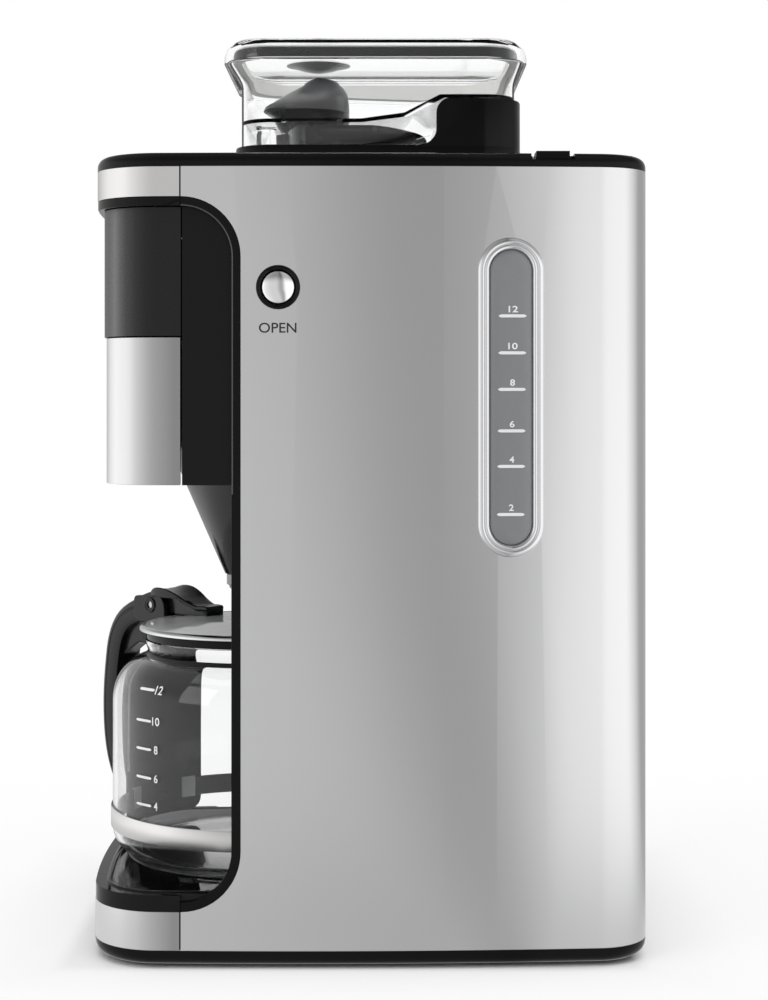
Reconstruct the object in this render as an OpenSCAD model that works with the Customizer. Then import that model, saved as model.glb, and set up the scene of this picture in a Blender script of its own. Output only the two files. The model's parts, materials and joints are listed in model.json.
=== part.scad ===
// Drip coffee maker with a bean grinder, a swing-out filter door and a glass carafe.
// Millimetres. +Z is up, the front faces -Y, and the OPEN button and the level window
// are on the +X side. The origin is on the ground, under the middle of the outline.

/* [Body] */
// Width across the steel side panels
body_w = 205; // [198:1:212]
// Distance from the origin forward to the upper front band
front_y = 130.5; // [128:0.5:134]
// Distance from the origin back to the rear panel
rear_y = 147.5; // [145:0.5:152]
// How far the base stands in front of the head
base_out = 1.1; // [0.6:0.1:2]
// Radius of the front corners
corner_front_r = 34; // [30:1:38]
// Radius of the rear corners
corner_rear_r = 27; // [22:1:30]
// Thickness of the steel sheet
steel_t = 1; // [0.8:0.1:1.2]
// Wall of the black mouldings
wall = 2.5; // [2:0.1:3]

/* [Heights] */
// Height of the rubber feet below the base pan
foot_h = 1.5; // [1:0.1:3]
// Height of the black skirt
skirt_h = 8; // [7:0.5:10]
// Height of the lower steel front band
band_low_h = 18.3; // [16:0.1:21]
// Height of the black deck that carries the warming plate
deck_h = 7.9; // [7:0.1:9]
// Height of the steel side panels
panel_h = 379.3; // [370:0.1:390]
// Height of the upper steel front band
band_up_h = 14.6; // [12:0.1:17]
// Height of the black top cap
cap_h = 7; // [6.5:0.1:8]
// Gap between the head plate and the top of the control panel
panel_gap = 0.3; // [0.2:0.1:0.6]
// Height of the black control panel cover
panel_cover_h = 62.6; // [60:0.1:66]
// Height of the steel door
door_h = 72.2; // [70:0.1:75]

/* [Side cut-out] */
// Depth of the front bands back to the seam
band_d = 48.1; // [46:0.1:50]
// Radius of the corners of the side cut-out
cut_r = 29.2; // [27:0.1:31]
// Width of the black trim in the cut-out
trim_w = 4.6; // [4:0.1:5.5]
// How far the control panel is set in from the body's outline
panel_in = 3.4; // [3:0.1:4]
// How far the steel door is set in from the body's outline
door_in = 4.4; // [4.1:0.1:5]

/* [Carafe] */
// Distance from the front face back to the carafe axis
axis_in = 78; // [77:0.5:80]
// Radius of the carafe glass
glass_r = 76; // [72:0.5:77]
// Thickness of the glass
glass_t = 2.4; // [2:0.1:3]
// Height of the glass
glass_h = 112; // [108:0.5:114]
// Radius of the carafe neck
neck_r = 56.5; // [54:0.5:58]
// Height of the steel carafe band
carafe_band_h = 10.5; // [9:0.5:12]
// Angle of the handle from straight ahead, towards the left side
handle_turn = 40; // [35:1:45]
// Reach of the handle beyond the glass
handle_reach = 39; // [36:0.5:42]
// Width of the handle grip
handle_w = 19; // [16:0.5:22]

/* [Filter door] */
// Radius of the filter basket at its top
basket_r = 52; // [50:0.5:53]
// Radius of the funnel mouth above the carafe
spout_r = 16.6; // [15:0.1:18]
// Height of the funnel mouth above the ground
spout_z = 182.6; // [181.5:0.1:186]
// Radius of the door hinge pin
hinge_pin_r = 2; // [1.6:0.1:2.4]
// Radius of the door hinge barrel
hinge_barrel_r = 4.2; // [4:0.1:4.6]

/* [Hopper] */
// Half width of the hopper lid
lid_half_w = 70; // [66:0.5:74]
// Height of the hopper above the top cap
hopper_h = 61.2; // [58:0.2:66]
// Height of the hopper plinth
plinth_h = 8.7; // [8:0.1:10]
// Height of the block behind the hopper, above the top cap
block_h = 32.5; // [31:0.1:34]
// Radius of the guide cone in the hopper
guide_r = 21.8; // [21:0.1:24]

/* [Water tank] */
// Depth of the water tank, front to back
tank_d = 76; // [66:0.5:77]
// Height of the tank floor above the ground
tank_z = 197.5; // [192:0.5:201]
// Wall of the water tank
tank_wall = 2.2; // [1.8:0.1:2.8]

/* [Controls] */
// Height of the OPEN button above the ground
open_z = 330.1; // [325:0.1:335]
// Radius of the OPEN button dome
open_r = 8.2; // [7.5:0.1:9]
// Radius of the ring round the OPEN button
open_ring_r = 10.6; // [10:0.1:12]
// Travel of the OPEN button
open_travel = 3; // [2:0.1:3.5]
// Radius of the control buttons
key_r = 5; // [4:0.1:6]
// Travel of the control buttons
key_travel = 1.2; // [0.8:0.1:1.5]
// Spacing of the control buttons
key_pitch = 24; // [22:0.5:26]
// Width of the level window frame
gauge_w = 32.4; // [30:0.1:34]
// Height of the level window frame
gauge_h = 155; // [148:0.5:158]
// Width of the level window itself
window_w = 19.8; // [18:0.1:21]

/* [Hidden] */

// Clearances
fit_gap = 0.3;
slide_gap = 0.5;
pin_gap = 0.05;
eps = 0.01;
far = 400;

// Facets of round things: small, medium, and arcs of a very large radius
fn_small = 32;
fn_mid = 96;
fn_big = 192;
fn_bow = 1440;

// Heights
skirt_top = foot_h + skirt_h;
deck_z0 = skirt_top + band_low_h;
deck_z = deck_z0 + deck_h;
shell_top = skirt_top + panel_h;
head_top = shell_top - band_up_h;
cap_top = shell_top + cap_h;
head_plate_z = head_top - trim_w;
panel_top = head_plate_z - panel_gap;
panel_bottom = panel_top - panel_cover_h;
door_top = panel_bottom - 0.4;
door_bottom = door_top - door_h;
ceiling_z = door_top + 0.2;
ceiling_t = 2.8;

// Depths
seam_y = band_d - front_y;
trim_y = seam_y + cut_r;
axis_y = axis_in - front_y;
burr_y = axis_y + 30.5;
back_wall_y = axis_y + basket_r + 6.5;

// Outline of the body: gently bowed sides, front and back with rounded corners
side_bow_r = 2050;
side_bow_y = -25;
front_bow_r = 700;
rear_bow_r = 2600;
bow_room = 8;
side_c = [body_w / 2 - side_bow_r, side_bow_y];
rear_c = [0, rear_y - rear_bow_r];

// Where the circles round c1 and c2 meet, on the side that s chooses
function meet(c1, r1, c2, r2, s) =
    let (d = c2 - c1, l = norm(d), a = (l * l + r1 * r1 - r2 * r2) / (2 * l),
         h = sqrt(r1 * r1 - a * a), u = d / l)
    c1 + a * u + s * h * [-u.y, u.x];
function heading(c, p) = atan2(p.y - c.y, p.x - c.x);
function flip(p) = [-p.x, p.y];
function polar(r, a) = r * [cos(a), sin(a)];

function front_centre(out) = [0, front_bow_r - front_y - out];
function front_corner(out) =
    meet(side_c, side_bow_r - corner_front_r, front_centre(out), front_bow_r - corner_front_r, -1);
rear_corner = meet(side_c, side_bow_r - corner_rear_r, rear_c, rear_bow_r - corner_rear_r, 1);

// The eight arcs of the outline, each [centre, radius, start angle, end angle]
function arcs(out = 0) =
    let (fc = front_centre(out), c = front_corner(out), a0 = heading(side_c, c),
         a1 = heading(side_c, rear_corner), a2 = heading(rear_c, rear_corner), a3 = heading(fc, c))
    [[side_c, side_bow_r, a0, a1],
     [rear_corner, corner_rear_r, a1, a2],
     [rear_c, rear_bow_r, a2, 180 - a2],
     [flip(rear_corner), corner_rear_r, 180 - a2, 180 - a1],
     [flip(side_c), side_bow_r, 180 - a1, 180 - a0],
     [flip(c), corner_front_r, 180 - a0, 180 - a3],
     [fc, front_bow_r, 180 - a3, 360 + a3],
     [c, corner_front_r, 360 + a3, 360 + a0]];

// The body's outline, set in by inset; out moves its front forward
module plan(inset = 0, out = 0) {
    parts = arcs(out);
    intersection() {
        translate(side_c) circle(side_bow_r - inset, $fn = fn_bow);
        translate(flip(side_c)) circle(side_bow_r - inset, $fn = fn_bow);
        translate(front_centre(out)) circle(front_bow_r - inset, $fn = fn_bow / 2);
        translate(rear_c) circle(rear_bow_r - inset, $fn = fn_bow);
        // cuts the four corners off; the long arcs stay clear of it
        polygon([for (a = parts)
                     each concat([a[0] + polar(a[1] - inset, a[2])],
                                 a[1] > 200 ? [a[0] + polar(a[1] + bow_room, (a[2] + a[3]) / 2)] : [])]);
    }
    for (a = parts)
        if (a[1] < 200)
            translate(a[0]) circle(a[1] - inset, $fn = fn_mid);
}

// The part of a 2D shape between two depths
module between_y(y0, y1) {
    intersection() {
        children();
        translate([-far / 2, y0]) square([far, y1 - y0]);
    }
}

// A wall that follows the front of the body's outline, from depth y1 forward
module front_wall(inset, t, y1, out = 0) {
    difference() {
        between_y(-far / 2, y1) plan(inset, out);
        plan(inset + t, out);
    }
}

// A slab of the body's outline whose upper edge is rounded to r in fine steps
module rounded_slab(h, r, out = 0) {
    steps = 5;
    linear_extrude(h - r) plan(0, out);
    for (i = [0:steps - 1]) {
        t0 = 90 * i / steps;
        t1 = 90 * (i + 1) / steps;
        translate([0, 0, h - r + r * sin(t0)])
            linear_extrude(r * (sin(t1) - sin(t0))) plan(r * (1 - cos((t0 + t1) / 2)), out);
    }
}

module bar(lo, hi) {
    translate(lo) cube(hi - lo);
}

module tube(r_out, r_in, h) {
    difference() {
        cylinder(r = r_out, h = h, $fn = fn_mid);
        translate([0, 0, -1]) cylinder(r = r_in, h = h + 2, $fn = fn_mid);
    }
}

// A rectangle with rounded corners between two corner points
module round_rect(lo, hi, r) {
    translate(lo + [r, 0]) square([hi.x - lo.x - 2 * r, hi.y - lo.y]);
    translate(lo + [0, r]) square([hi.x - lo.x, hi.y - lo.y - 2 * r]);
    for (x = [lo.x + r, hi.x - r], y = [lo.y + r, hi.y - r])
        translate([x, y]) circle(r, $fn = fn_mid);
}

// Stands a (Y, Z) outline up and gives it a thickness from x0 to x1
module along_x(x0, x1) {
    translate([x0, 0, 0])
        rotate([90, 0, 90])
            linear_extrude(x1 - x0) children();
}

// Moves children to the +X side panel at a depth y: +X is outward there
module on_side(y) {
    a = asin((y - side_bow_y) / side_bow_r);
    p = side_c + polar(side_bow_r, a);
    translate([p.x, p.y, 0]) rotate(a) children();
}

// The side cut-out's (Y, Z) outline, drawn in by d
module cut_outline(d) {
    round_rect([-far / 2, deck_z0 + d], [trim_y - d, head_top - d], cut_r - d);
}

// ---------- base ----------
pan_floor = 3;
foot_r = 9;
foot_at = [[-72, -92], [72, -92], [-72, 112], [72, 112]];
vent_w = 3;

module base_pan() {
    color("#18181a")
        difference() {
            union() {
                translate([0, 0, foot_h + 2]) linear_extrude(skirt_h - 2) plan(0, base_out);
                translate([0, 0, foot_h]) linear_extrude(2) plan(2, base_out);
            }
            for (x = [-1, 1], y = [0, 1])
                bar([x > 0 ? 2 : -84, y > 0 ? 12 : -104, foot_h + pan_floor],
                    [x > 0 ? 84 : -2, y > 0 ? 124 : 8, skirt_top + 1]);
            for (p = foot_at)
                translate([p.x, p.y, 0]) cylinder(r = foot_r + 0.1, h = foot_h + 1, $fn = fn_mid);
            for (x = [-40, 40], i = [0:6])
                bar([x - 16, 30 + i * 3 * vent_w, 0], [x + 16, 30 + (i * 3 + 1) * vent_w, skirt_top]);
            for (p = screw_at)
                translate([p.x, p.y, 0]) cylinder(r = screw_r + 0.2, h = skirt_top + 1, $fn = fn_small);
            for (p = screw_at)
                translate([p.x, p.y, 0]) cylinder(r = screw_head_r + 0.2, h = foot_h + 1.4, $fn = fn_small);
        }
}

module rubber_feet() {
    color("#2a2a2a")
        for (p = foot_at)
            translate([p.x, p.y, 0]) cylinder(r = foot_r, h = foot_h + 1, $fn = fn_mid);
}

screw_r = 1.8;
screw_head_r = 3.6;
screw_at = [[-92, -60], [92, -60], [-92, 60], [92, 60]];

module base_screws() {
    color("#b8b8b8")
        for (p = screw_at)
            translate([p.x, p.y, 0]) {
                translate([0, 0, foot_h + 0.2]) cylinder(r = screw_head_r, h = 1.2, $fn = fn_small);
                translate([0, 0, foot_h + 1]) cylinder(r = screw_r, h = skirt_h - 1.6, $fn = fn_small);
            }
}

module body_shell() {
    color("#b9b9ba")
        difference() {
            translate([0, 0, skirt_top])
                linear_extrude(panel_h)
                    between_y(seam_y, far)
                        difference() {
                            plan();
                            plan(steel_t);
                        }
            along_x(-body_w, body_w) cut_outline(0);
            on_side(open_y)
                translate([-5, 0, open_z]) rotate([0, 90, 0])
                    cylinder(r = open_ring_r - 0.8, h = 10, $fn = fn_mid);
            on_side(gauge_y)
                along_x(-5, 5) oblong(gauge_w - 3, gauge_h - 3);
            translate([gland_x, rear_y - 10, gland_z]) rotate([-90, 0, 0])
                cylinder(r = gland_r - 1.2, h = 20, $fn = fn_mid);
        }
}

module front_band(z, h, out) {
    translate([0, 0, z])
        linear_extrude(h) front_wall(0, steel_t, seam_y - 0.4, out);
}

module front_band_lower() {
    color("#c3c3c4") front_band(skirt_top, band_low_h, base_out);
}

module front_band_upper() {
    color("#c3c3c4") front_band(head_top, band_up_h, 0);
}

plate_r = 68;
plate_t = 1.5;
plate_rise = 0.5;
plate_ledge = 3;

module base_deck() {
    color("#101012")
        difference() {
            union() {
                translate([0, 0, deck_z0])
                    linear_extrude(deck_h)
                        between_y(-far / 2, seam_y - 0.2) plan(0.2, base_out);
                bar([-trim_x0 + 0.2, seam_y - 1, deck_z0], [trim_x0 - 0.2, back_y + 3, deck_z]);
            }
            bar([-trim_x0 + 4, -100, deck_z0 - 1], [trim_x0 - 4, back_y, deck_z - 2.6]);
            bar([-30, 0, deck_z0 - 1], [30, back_y + 4, deck_z - 2.6]);
            translate([0, axis_y, deck_z - plate_t + plate_rise - 0.2])
                cylinder(r = plate_r + 0.6, h = deck_h, $fn = fn_big);
            translate([0, axis_y, deck_z0 - 1])
                cylinder(r = plate_r - plate_ledge, h = deck_h + 2, $fn = fn_big);
        }
}

module warming_plate() {
    color("#141416")
        translate([0, axis_y, deck_z + plate_rise - plate_t])
            rotate_extrude($fn = fn_big)
                polygon([[0, 0], [plate_r - 1, 0], [plate_r, 0.5], [plate_r, plate_t - 0.4],
                         [plate_r - 0.6, plate_t], [plate_r - 8, plate_t], [plate_r - 10, plate_t - 0.4],
                         [0, plate_t - 0.4]]);
}

heater_r = 46;
heater_tube_r = 5;
heater_z = deck_z + plate_rise - plate_t - heater_tube_r;

module heater_tube() {
    color("#a9a9ab")
        translate([0, axis_y, heater_z]) {
            rotate(90 + 25)
                rotate_extrude(angle = 310, $fn = fn_big)
                    translate([heater_r, 0]) circle(heater_tube_r, $fn = fn_small);
            for (s = [-1, 1])
                translate([s * heater_r * sin(25), heater_r * cos(25), 0])
                    rotate([-90, 0, 0])
                        cylinder(r = heater_tube_r - 2, h = 46, $fn = fn_small);
        }
}

gland_x = -55;
gland_z = 34;
gland_r = 8;

module cord_gland() {
    color("#151515")
        translate([gland_x, 0, gland_z])
            rotate([-90, 0, 0])
                translate([0, 0, rear_y - 5])
                    difference() {
                        union() {
                            cylinder(r = gland_r - 1.4, h = 6, $fn = fn_mid);
                            translate([0, 0, 4.9]) cylinder(r = gland_r + 1.5, h = 1.6, $fn = fn_mid);
                            cylinder(r = gland_r + 1.5, h = 3, $fn = fn_mid);
                        }
                        translate([0, 0, -1]) cylinder(r = 3.6, h = 12, $fn = fn_mid);
                    }
}

// ---------- bay ----------
bay_r = glass_r + 6;
back_y = axis_y + bay_r + wall;
trim_t = 3.2;
trim_x1 = body_w / 2 - 0.9;
trim_x0 = trim_x1 - trim_t;

module bay_liner() {
    color("#131315")
        translate([0, 0, deck_z])
            linear_extrude(door_bottom - deck_z) {
                between_y(trim_y - trim_w, far)
                    difference() {
                        translate([0, axis_y]) circle(bay_r + wall, $fn = fn_big);
                        translate([0, axis_y]) circle(bay_r, $fn = fn_big);
                    }
                for (s = [0, 1])
                    mirror([s, 0])
                        difference() {
                            translate([bay_r - 3, trim_y - trim_w]) square([trim_x0 - 0.1 - bay_r + 3, wall]);
                            translate([0, axis_y]) circle(bay_r, $fn = fn_big);
                        }
            }
    // shelf that carries the water tank, on two ribs from the liner
    color("#131315")
        translate([0, 0, tank_z - shelf_under]) {
            difference() {
                bar([-shelf_w / 2, back_y - 1, 0], [shelf_w / 2, tank_y1 - 12, shelf_under - 0.2]);
                translate([riser_x, back_y + 4 + hose_r, -1]) cylinder(r = hose_r + 1, h = 10, $fn = fn_small);
            }
            for (x = [-1, 1])
                bar([x * rib_x - 1.5, rib_y, -22], [x * rib_x + 1.5, tank_y1 - 12, 0.5]);
        }
}

shelf_under = 3.2;
shelf_w = 110;
rib_x = 48;
rib_y = axis_y + bay_r * cos(asin(rib_x / bay_r)) + 1.6;

module side_trim() {
    along_x(trim_x0, trim_x1)
        intersection() {
            difference() {
                cut_outline(0.1);
                cut_outline(trim_w);
            }
            translate([seam_y, 0]) square(shell_top);
        }
}

module side_trim_right() {
    color("#101012") side_trim();
}

module side_trim_left() {
    color("#101012") mirror([1, 0, 0]) side_trim();
}

// ---------- head ----------
cheek_x1 = body_w / 2 - 0.9 - panel_in;
cheek_x0 = cheek_x1 - wall - 0.5;
hinge_x = -(body_w / 2 - 11);
hinge_y = seam_y - 5;
lug_t = 4.8;
latch_slot = 12;
chute_x = 0;
chute_y = burr_y - 23;
chute_r = 8;
shower_y = axis_y - 23.5;
shower_r = 20;
motor_y = back_wall_y + wall + 27;
chamber_r = 34;

module cheek() {
    bar([cheek_x0, seam_y + 0.4, door_bottom], [cheek_x1, back_wall_y + wall, head_plate_z]);
}

module head_frame() {
    color("#19191b")
        difference() {
            union() {
                cheek();
                mirror([1, 0, 0]) cheek();
                bar([-cheek_x1, back_wall_y, door_bottom], [cheek_x1, back_wall_y + wall, head_plate_z]);
                bar([-cheek_x1, seam_y + 0.4, ceiling_z], [cheek_x0 - latch_slot, back_wall_y + wall, ceiling_z + ceiling_t]);
                bar([-cheek_x1, back_wall_y, door_bottom], [cheek_x1, back_y, door_bottom + wall]);
                // lower lug of the door hinge
                bar([hinge_x - 6, hinge_y - 6, door_bottom - 0.4 - lug_t], [hinge_x + 6, seam_y + 16, door_bottom - 0.4]);
                bar([-cheek_x1, seam_y + 9, door_bottom - 0.4 - lug_t], [hinge_x + 6, seam_y + 16, door_bottom + 1]);
                // upper lug of the door hinge
                bar([hinge_x - 3.5, hinge_y - 5, ceiling_z], [hinge_x + 6, seam_y + 2, ceiling_z + ceiling_t]);
            }
            // room for the hinge side of the door to swing
            translate([hinge_x, hinge_y, door_bottom - 0.4]) cylinder(r = 9.4, h = ceiling_z - door_bottom + 0.4, $fn = fn_mid);
            translate([hinge_x, hinge_y, door_bottom - lug_t - 2])
                cylinder(r = hinge_pin_r, h = door_h + 2 * lug_t + 6, $fn = fn_mid);
            translate([chute_x, chute_y, ceiling_z - 1]) cylinder(r = chute_r + 2.1, h = ceiling_t + 2, $fn = fn_mid);
            translate([0, shower_y, ceiling_z - 1]) cylinder(r = 4.1, h = ceiling_t + 2, $fn = fn_mid);
            translate([cheek_x0 - 1, open_y, open_z]) rotate([0, 90, 0])
                cylinder(r = open_r + 0.5, h = 6, $fn = fn_mid);
            translate([0, burr_y, chamber_z - 0.2]) cylinder(r = chamber_r + 0.3, h = far, $fn = fn_mid);
            // the gearbox and the riser hose pass over the back wall
            bar([-27, back_wall_y - 1, gear_z], [27, back_wall_y + wall + 1, gear_z + gear_h + 0.2]);
            translate([riser_x, back_wall_y - 1, riser_z]) rotate([-90, 0, 0])
                cylinder(r = hose_r + 0.3, h = wall + 2, $fn = fn_small);
        }
}

module door_hinge_pin() {
    color("#c8c8c8")
        translate([hinge_x, hinge_y, door_bottom - 0.4 - lug_t])
            cylinder(r = hinge_pin_r, h = ceiling_z + ceiling_t - door_bottom + 0.4 + lug_t, $fn = fn_mid);
}

module head_plate() {
    color("#101012")
        translate([0, 0, head_plate_z])
            linear_extrude(trim_w)
                difference() {
                    union() {
                        between_y(-far / 2, seam_y - 0.2) plan(0.2);
                        translate([-trim_x0 + 0.2, seam_y - 1])
                            square([2 * trim_x0 - 0.4, back_wall_y + wall - seam_y + 1]);
                    }
                    translate([0, burr_y]) circle(chamber_r + 0.3, $fn = fn_mid);
                }
}

panel_front = front_y - panel_in;
display_w = 62;
display_h = 20;
display_z = panel_top - 19;
key_z = panel_bottom + 16;
key_x = [for (i = [0:3]) (i - 1.5) * key_pitch];
board_y = -panel_front + wall + 7.5;

module control_panel() {
    color("#1d1d1f")
        difference() {
            translate([0, 0, panel_bottom])
                linear_extrude(panel_cover_h) front_wall(panel_in, wall, seam_y - 0.2);
            translate([0, -panel_front - 5, display_z]) rotate([-90, 0, 0])
                linear_extrude(20)
                    round_rect([-display_w / 2, -display_h / 2], [display_w / 2, display_h / 2], 3);
            for (x = key_x)
                translate([x, -panel_front - 5, key_z]) rotate([-90, 0, 0])
                    cylinder(r = key_r + fit_gap, h = 20, $fn = fn_mid);
        }
}

module display_window() {
    color("#26303a")
        translate([0, -panel_front + 0.9, display_z]) rotate([-90, 0, 0])
            linear_extrude(2)
                round_rect([-display_w / 2 + 0.05, -display_h / 2 + 0.05],
                           [display_w / 2 - 0.05, display_h / 2 - 0.05], 3);
}

module control_board() {
    color("#1f5a3a") {
        bar([-60, board_y, panel_bottom + 4], [60, board_y + 1.6, panel_top - 4]);
        for (x = [-58, 58])
            bar([x - 3, -panel_front + wall + 2.9, panel_bottom + 6], [x + 3, board_y, panel_bottom + 12]);
    }
}

key_len = 6;
key_proud = 0.5;

// A push button of the front panel; its face follows the bow of the panel
module key(i) {
    x = key_x[i];
    bow = front_bow_r - sqrt(front_bow_r * front_bow_r - x * x);
    color("#2b2b2d")
        translate([x, -panel_front + bow - key_proud, key_z]) rotate([-90, 0, 0])
            rotate_extrude($fn = fn_mid)
                polygon([[0, 0], [key_r - 0.8, 0], [key_r - 0.2, 0.25], [key_r, 0.8], [key_r, 4.6],
                         [2, 4.6], [2, key_len], [0, key_len]]);
}

module key_power() {
    key(0);
}

module key_grind() {
    key(1);
}

module key_strength() {
    key(2);
}

module key_cups() {
    key(3);
}

// ---------- top ----------
tank_y1 = rear_y - steel_t - 0.5;
tank_y0 = tank_y1 - tank_d;
lid_x0 = -(body_w / 2 - 22.5);
lid_x1 = body_w / 2 - 18.5;
lid_y0 = rear_y - 57.5;
lid_y1 = rear_y - 9;
lid_t = 3;
lid_hinge_x = lid_x0 - 3;
lid_hinge_z = cap_top - 2.6;
lid_pin_r = 1;
lid_barrel_r = 2.3;
tab_y0 = lid_y0 + 0.2;
tab_y1 = lid_y0 + 16.5;
mouth_r = 30;
// hollows under the cap: how far out they reach, and the rib between the front two
pocket_front_x = 84;
pocket_front_y = 100;
pocket_rib = 2;
pocket_rear_x = 90;
pocket_rear_y = 60;

module top_cap() {
    color("#141416")
        difference() {
            translate([0, 0, shell_top]) rounded_slab(cap_h, 5);
            // pockets below
            for (x = [-pocket_front_x, pocket_rib])
                bar([x, -pocket_front_y, shell_top - 1],
                    [x + pocket_front_x - pocket_rib, burr_y - chamber_r - 4, cap_top - wall]);
            for (x = [-pocket_rear_x, chamber_r + 4])
                bar([x, burr_y - chamber_r - 2, shell_top - 1],
                    [x + pocket_rear_x - chamber_r - 4, pocket_rear_y, cap_top - wall]);
            // mouth over the grinder
            translate([0, burr_y, shell_top - 1]) cylinder(r = mouth_r, h = cap_h + 2, $fn = fn_mid);
            // tank lid recess, its opening, its hinge pocket and its tab's notch
            bar([lid_x0 - 0.5, lid_y0 - 0.5, cap_top - lid_t - 0.3], [lid_x1 + 0.5, lid_y1 + 0.5, cap_top + 1]);
            bar([lid_x0 + 6, lid_y0 + 4, shell_top - 1], [lid_x1 - 5, lid_y1 - 4, cap_top + 1]);
            bar([lid_hinge_x - 3.4, lid_y0 - 0.5, lid_hinge_z - lid_barrel_r - 0.4], [lid_x0 + 2, lid_y1 + 0.5, cap_top + 1]);
            bar([lid_x1 - 1, tab_y0 - 2.4, cap_top - lid_t - 0.3], [body_w / 2 + 2, tab_y1 + 2.6, cap_top + 1]);
            translate([lid_hinge_x, lid_y0 - 4, lid_hinge_z]) rotate([-90, 0, 0])
                cylinder(r = lid_pin_r, h = lid_y1 - lid_y0 + 8, $fn = fn_small);
        }
}

module tank_lid_pin() {
    color("#c8c8c8")
        translate([lid_hinge_x, lid_y0 - 4, lid_hinge_z]) rotate([-90, 0, 0])
            cylinder(r = lid_pin_r, h = lid_y1 - lid_y0 + 8, $fn = fn_small);
}

module tank_lid() {
    color("#161618")
        difference() {
            union() {
                bar([lid_x0, lid_y0, cap_top - lid_t], [lid_x1, lid_y1, cap_top]);
                translate([lid_hinge_x, lid_y0 + 3, lid_hinge_z]) rotate([-90, 0, 0])
                    cylinder(r = lid_barrel_r, h = lid_y1 - lid_y0 - 6, $fn = fn_mid);
                bar([lid_hinge_x, lid_y0 + 3, lid_hinge_z - 0.4], [lid_x0 + 1, lid_y1 - 3, cap_top - 0.3]);
                bar([lid_x1 - 1, tab_y0, cap_top - lid_t], [body_w / 2 - 5.4, tab_y1, cap_top + 0.9]);
                bar([lid_x0 + 8, lid_y0 + 6, cap_top - lid_t - 3], [lid_x1 - 8, lid_y1 - 6, cap_top - 1]);
            }
            bar([lid_x0 + 10, lid_y0 + 8, cap_top - lid_t - 4], [lid_x1 - 10, lid_y1 - 8, cap_top - lid_t]);
            translate([lid_hinge_x, lid_y0, lid_hinge_z]) rotate([-90, 0, 0])
                cylinder(r = lid_pin_r + pin_gap, h = lid_y1 - lid_y0, $fn = fn_small);
        }
}

// ---------- water ----------
tank_top = shell_top - 2.5;

module tank_outline(inset) {
    between_y(tank_y0 + inset - 1.5, far) plan(steel_t + 0.5 + inset);
}

module water_tank() {
    color("#cfd6da")
        translate([0, 0, tank_z]) {
            linear_extrude(tank_wall) tank_outline(1);
            linear_extrude(tank_top - tank_z)
                difference() {
                    tank_outline(1);
                    tank_outline(1 + tank_wall);
                }
        }
}

hose_r = 4;
riser_x = -38;
riser_z = ceiling_z + ceiling_t + 5.2;
bend_r = 14;

// Silicone hose from the heater up behind the bay and over to the shower head
module riser_hose() {
    hose_y = back_y + 3 + hose_r + 1;
    color("#e4e4e0") {
        translate([riser_x, hose_y, deck_z0 - 6])
            cylinder(r = hose_r, h = riser_z - bend_r - deck_z0 + 6, $fn = fn_small);
        translate([riser_x, hose_y - bend_r, riser_z - bend_r])
            rotate([90, 0, 90])
                rotate_extrude(angle = 90, $fn = fn_mid)
                    translate([bend_r, 0]) circle(hose_r, $fn = fn_small);
        translate([riser_x, shower_y + bend_r, riser_z]) rotate([-90, 0, 0])
            cylinder(r = hose_r, h = hose_y - shower_y - 2 * bend_r, $fn = fn_small);
    }
}

module shower_head() {
    color("#d9d9d6") {
        translate([0, shower_y, ceiling_z - 4])
            difference() {
                cylinder(r = shower_r, h = 4, $fn = fn_mid);
                for (a = [0:45:315])
                    translate([13 * cos(a), 13 * sin(a), -1]) cylinder(r = 1.2, h = 6, $fn = fn_small);
            }
        translate([0, shower_y, ceiling_z - 1]) cylinder(r = 4, h = 2 + ceiling_t, $fn = fn_small);
        // spigot from the riser hose
        translate([0, shower_y, ceiling_z + ceiling_t + 1]) {
            bar([riser_x - 4, -4, 0], [4, 4, 8]);
        }
        bar([riser_x - 4, shower_y - 4, ceiling_z + ceiling_t + 1], [riser_x + 4, shower_y + bend_r, ceiling_z + ceiling_t + 9]);
    }
}

// ---------- grinder ----------
gear_z = ceiling_z + ceiling_t;
gear_h = 16.5;
motor_r = 23;
motor_h = 66;

module gearbox() {
    color("#3a3a3c")
        translate([0, 0, gear_z])
            difference() {
                linear_extrude(gear_h) {
                    translate([0, burr_y]) circle(11, $fn = fn_mid);
                    translate([-11, burr_y]) square([22, motor_y - burr_y]);
                    translate([0, motor_y]) circle(motor_r + 2, $fn = fn_mid);
                }
                translate([0, burr_y, 4]) cylinder(r = shaft_r + 0.4, h = gear_h, $fn = fn_small);
            }
}

module grinder_motor() {
    color("#9a9a9c")
        translate([0, motor_y, gear_z - motor_h]) {
            cylinder(r = motor_r, h = motor_h, $fn = fn_mid);
            translate([0, 0, -5]) cylinder(r = 7, h = 6, $fn = fn_mid);
        }
}

chamber_z = gear_z + gear_h;
chamber_top = shell_top;
shaft_r = 4;

module burr_chamber() {
    color("#222224")
        translate([0, 0, chamber_z])
            difference() {
                translate([0, burr_y, 0]) cylinder(r = chamber_r, h = chamber_top - chamber_z, $fn = fn_mid);
                translate([0, burr_y, 3]) cylinder(r = chamber_r - wall, h = far, $fn = fn_mid);
                translate([0, burr_y, -1]) cylinder(r = shaft_r + 0.4, h = 6, $fn = fn_small);
                translate([chute_x, chute_y, -1]) cylinder(r = chute_r + 0.4, h = 6, $fn = fn_mid);
            }
}

module grounds_chute() {
    color("#222224")
        translate([chute_x, chute_y, ceiling_z - 4])
            tube(chute_r + 2, chute_r, chamber_z - ceiling_z + 4);
}

burr_top = chamber_top - 10;
burr_h = 26;

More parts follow.
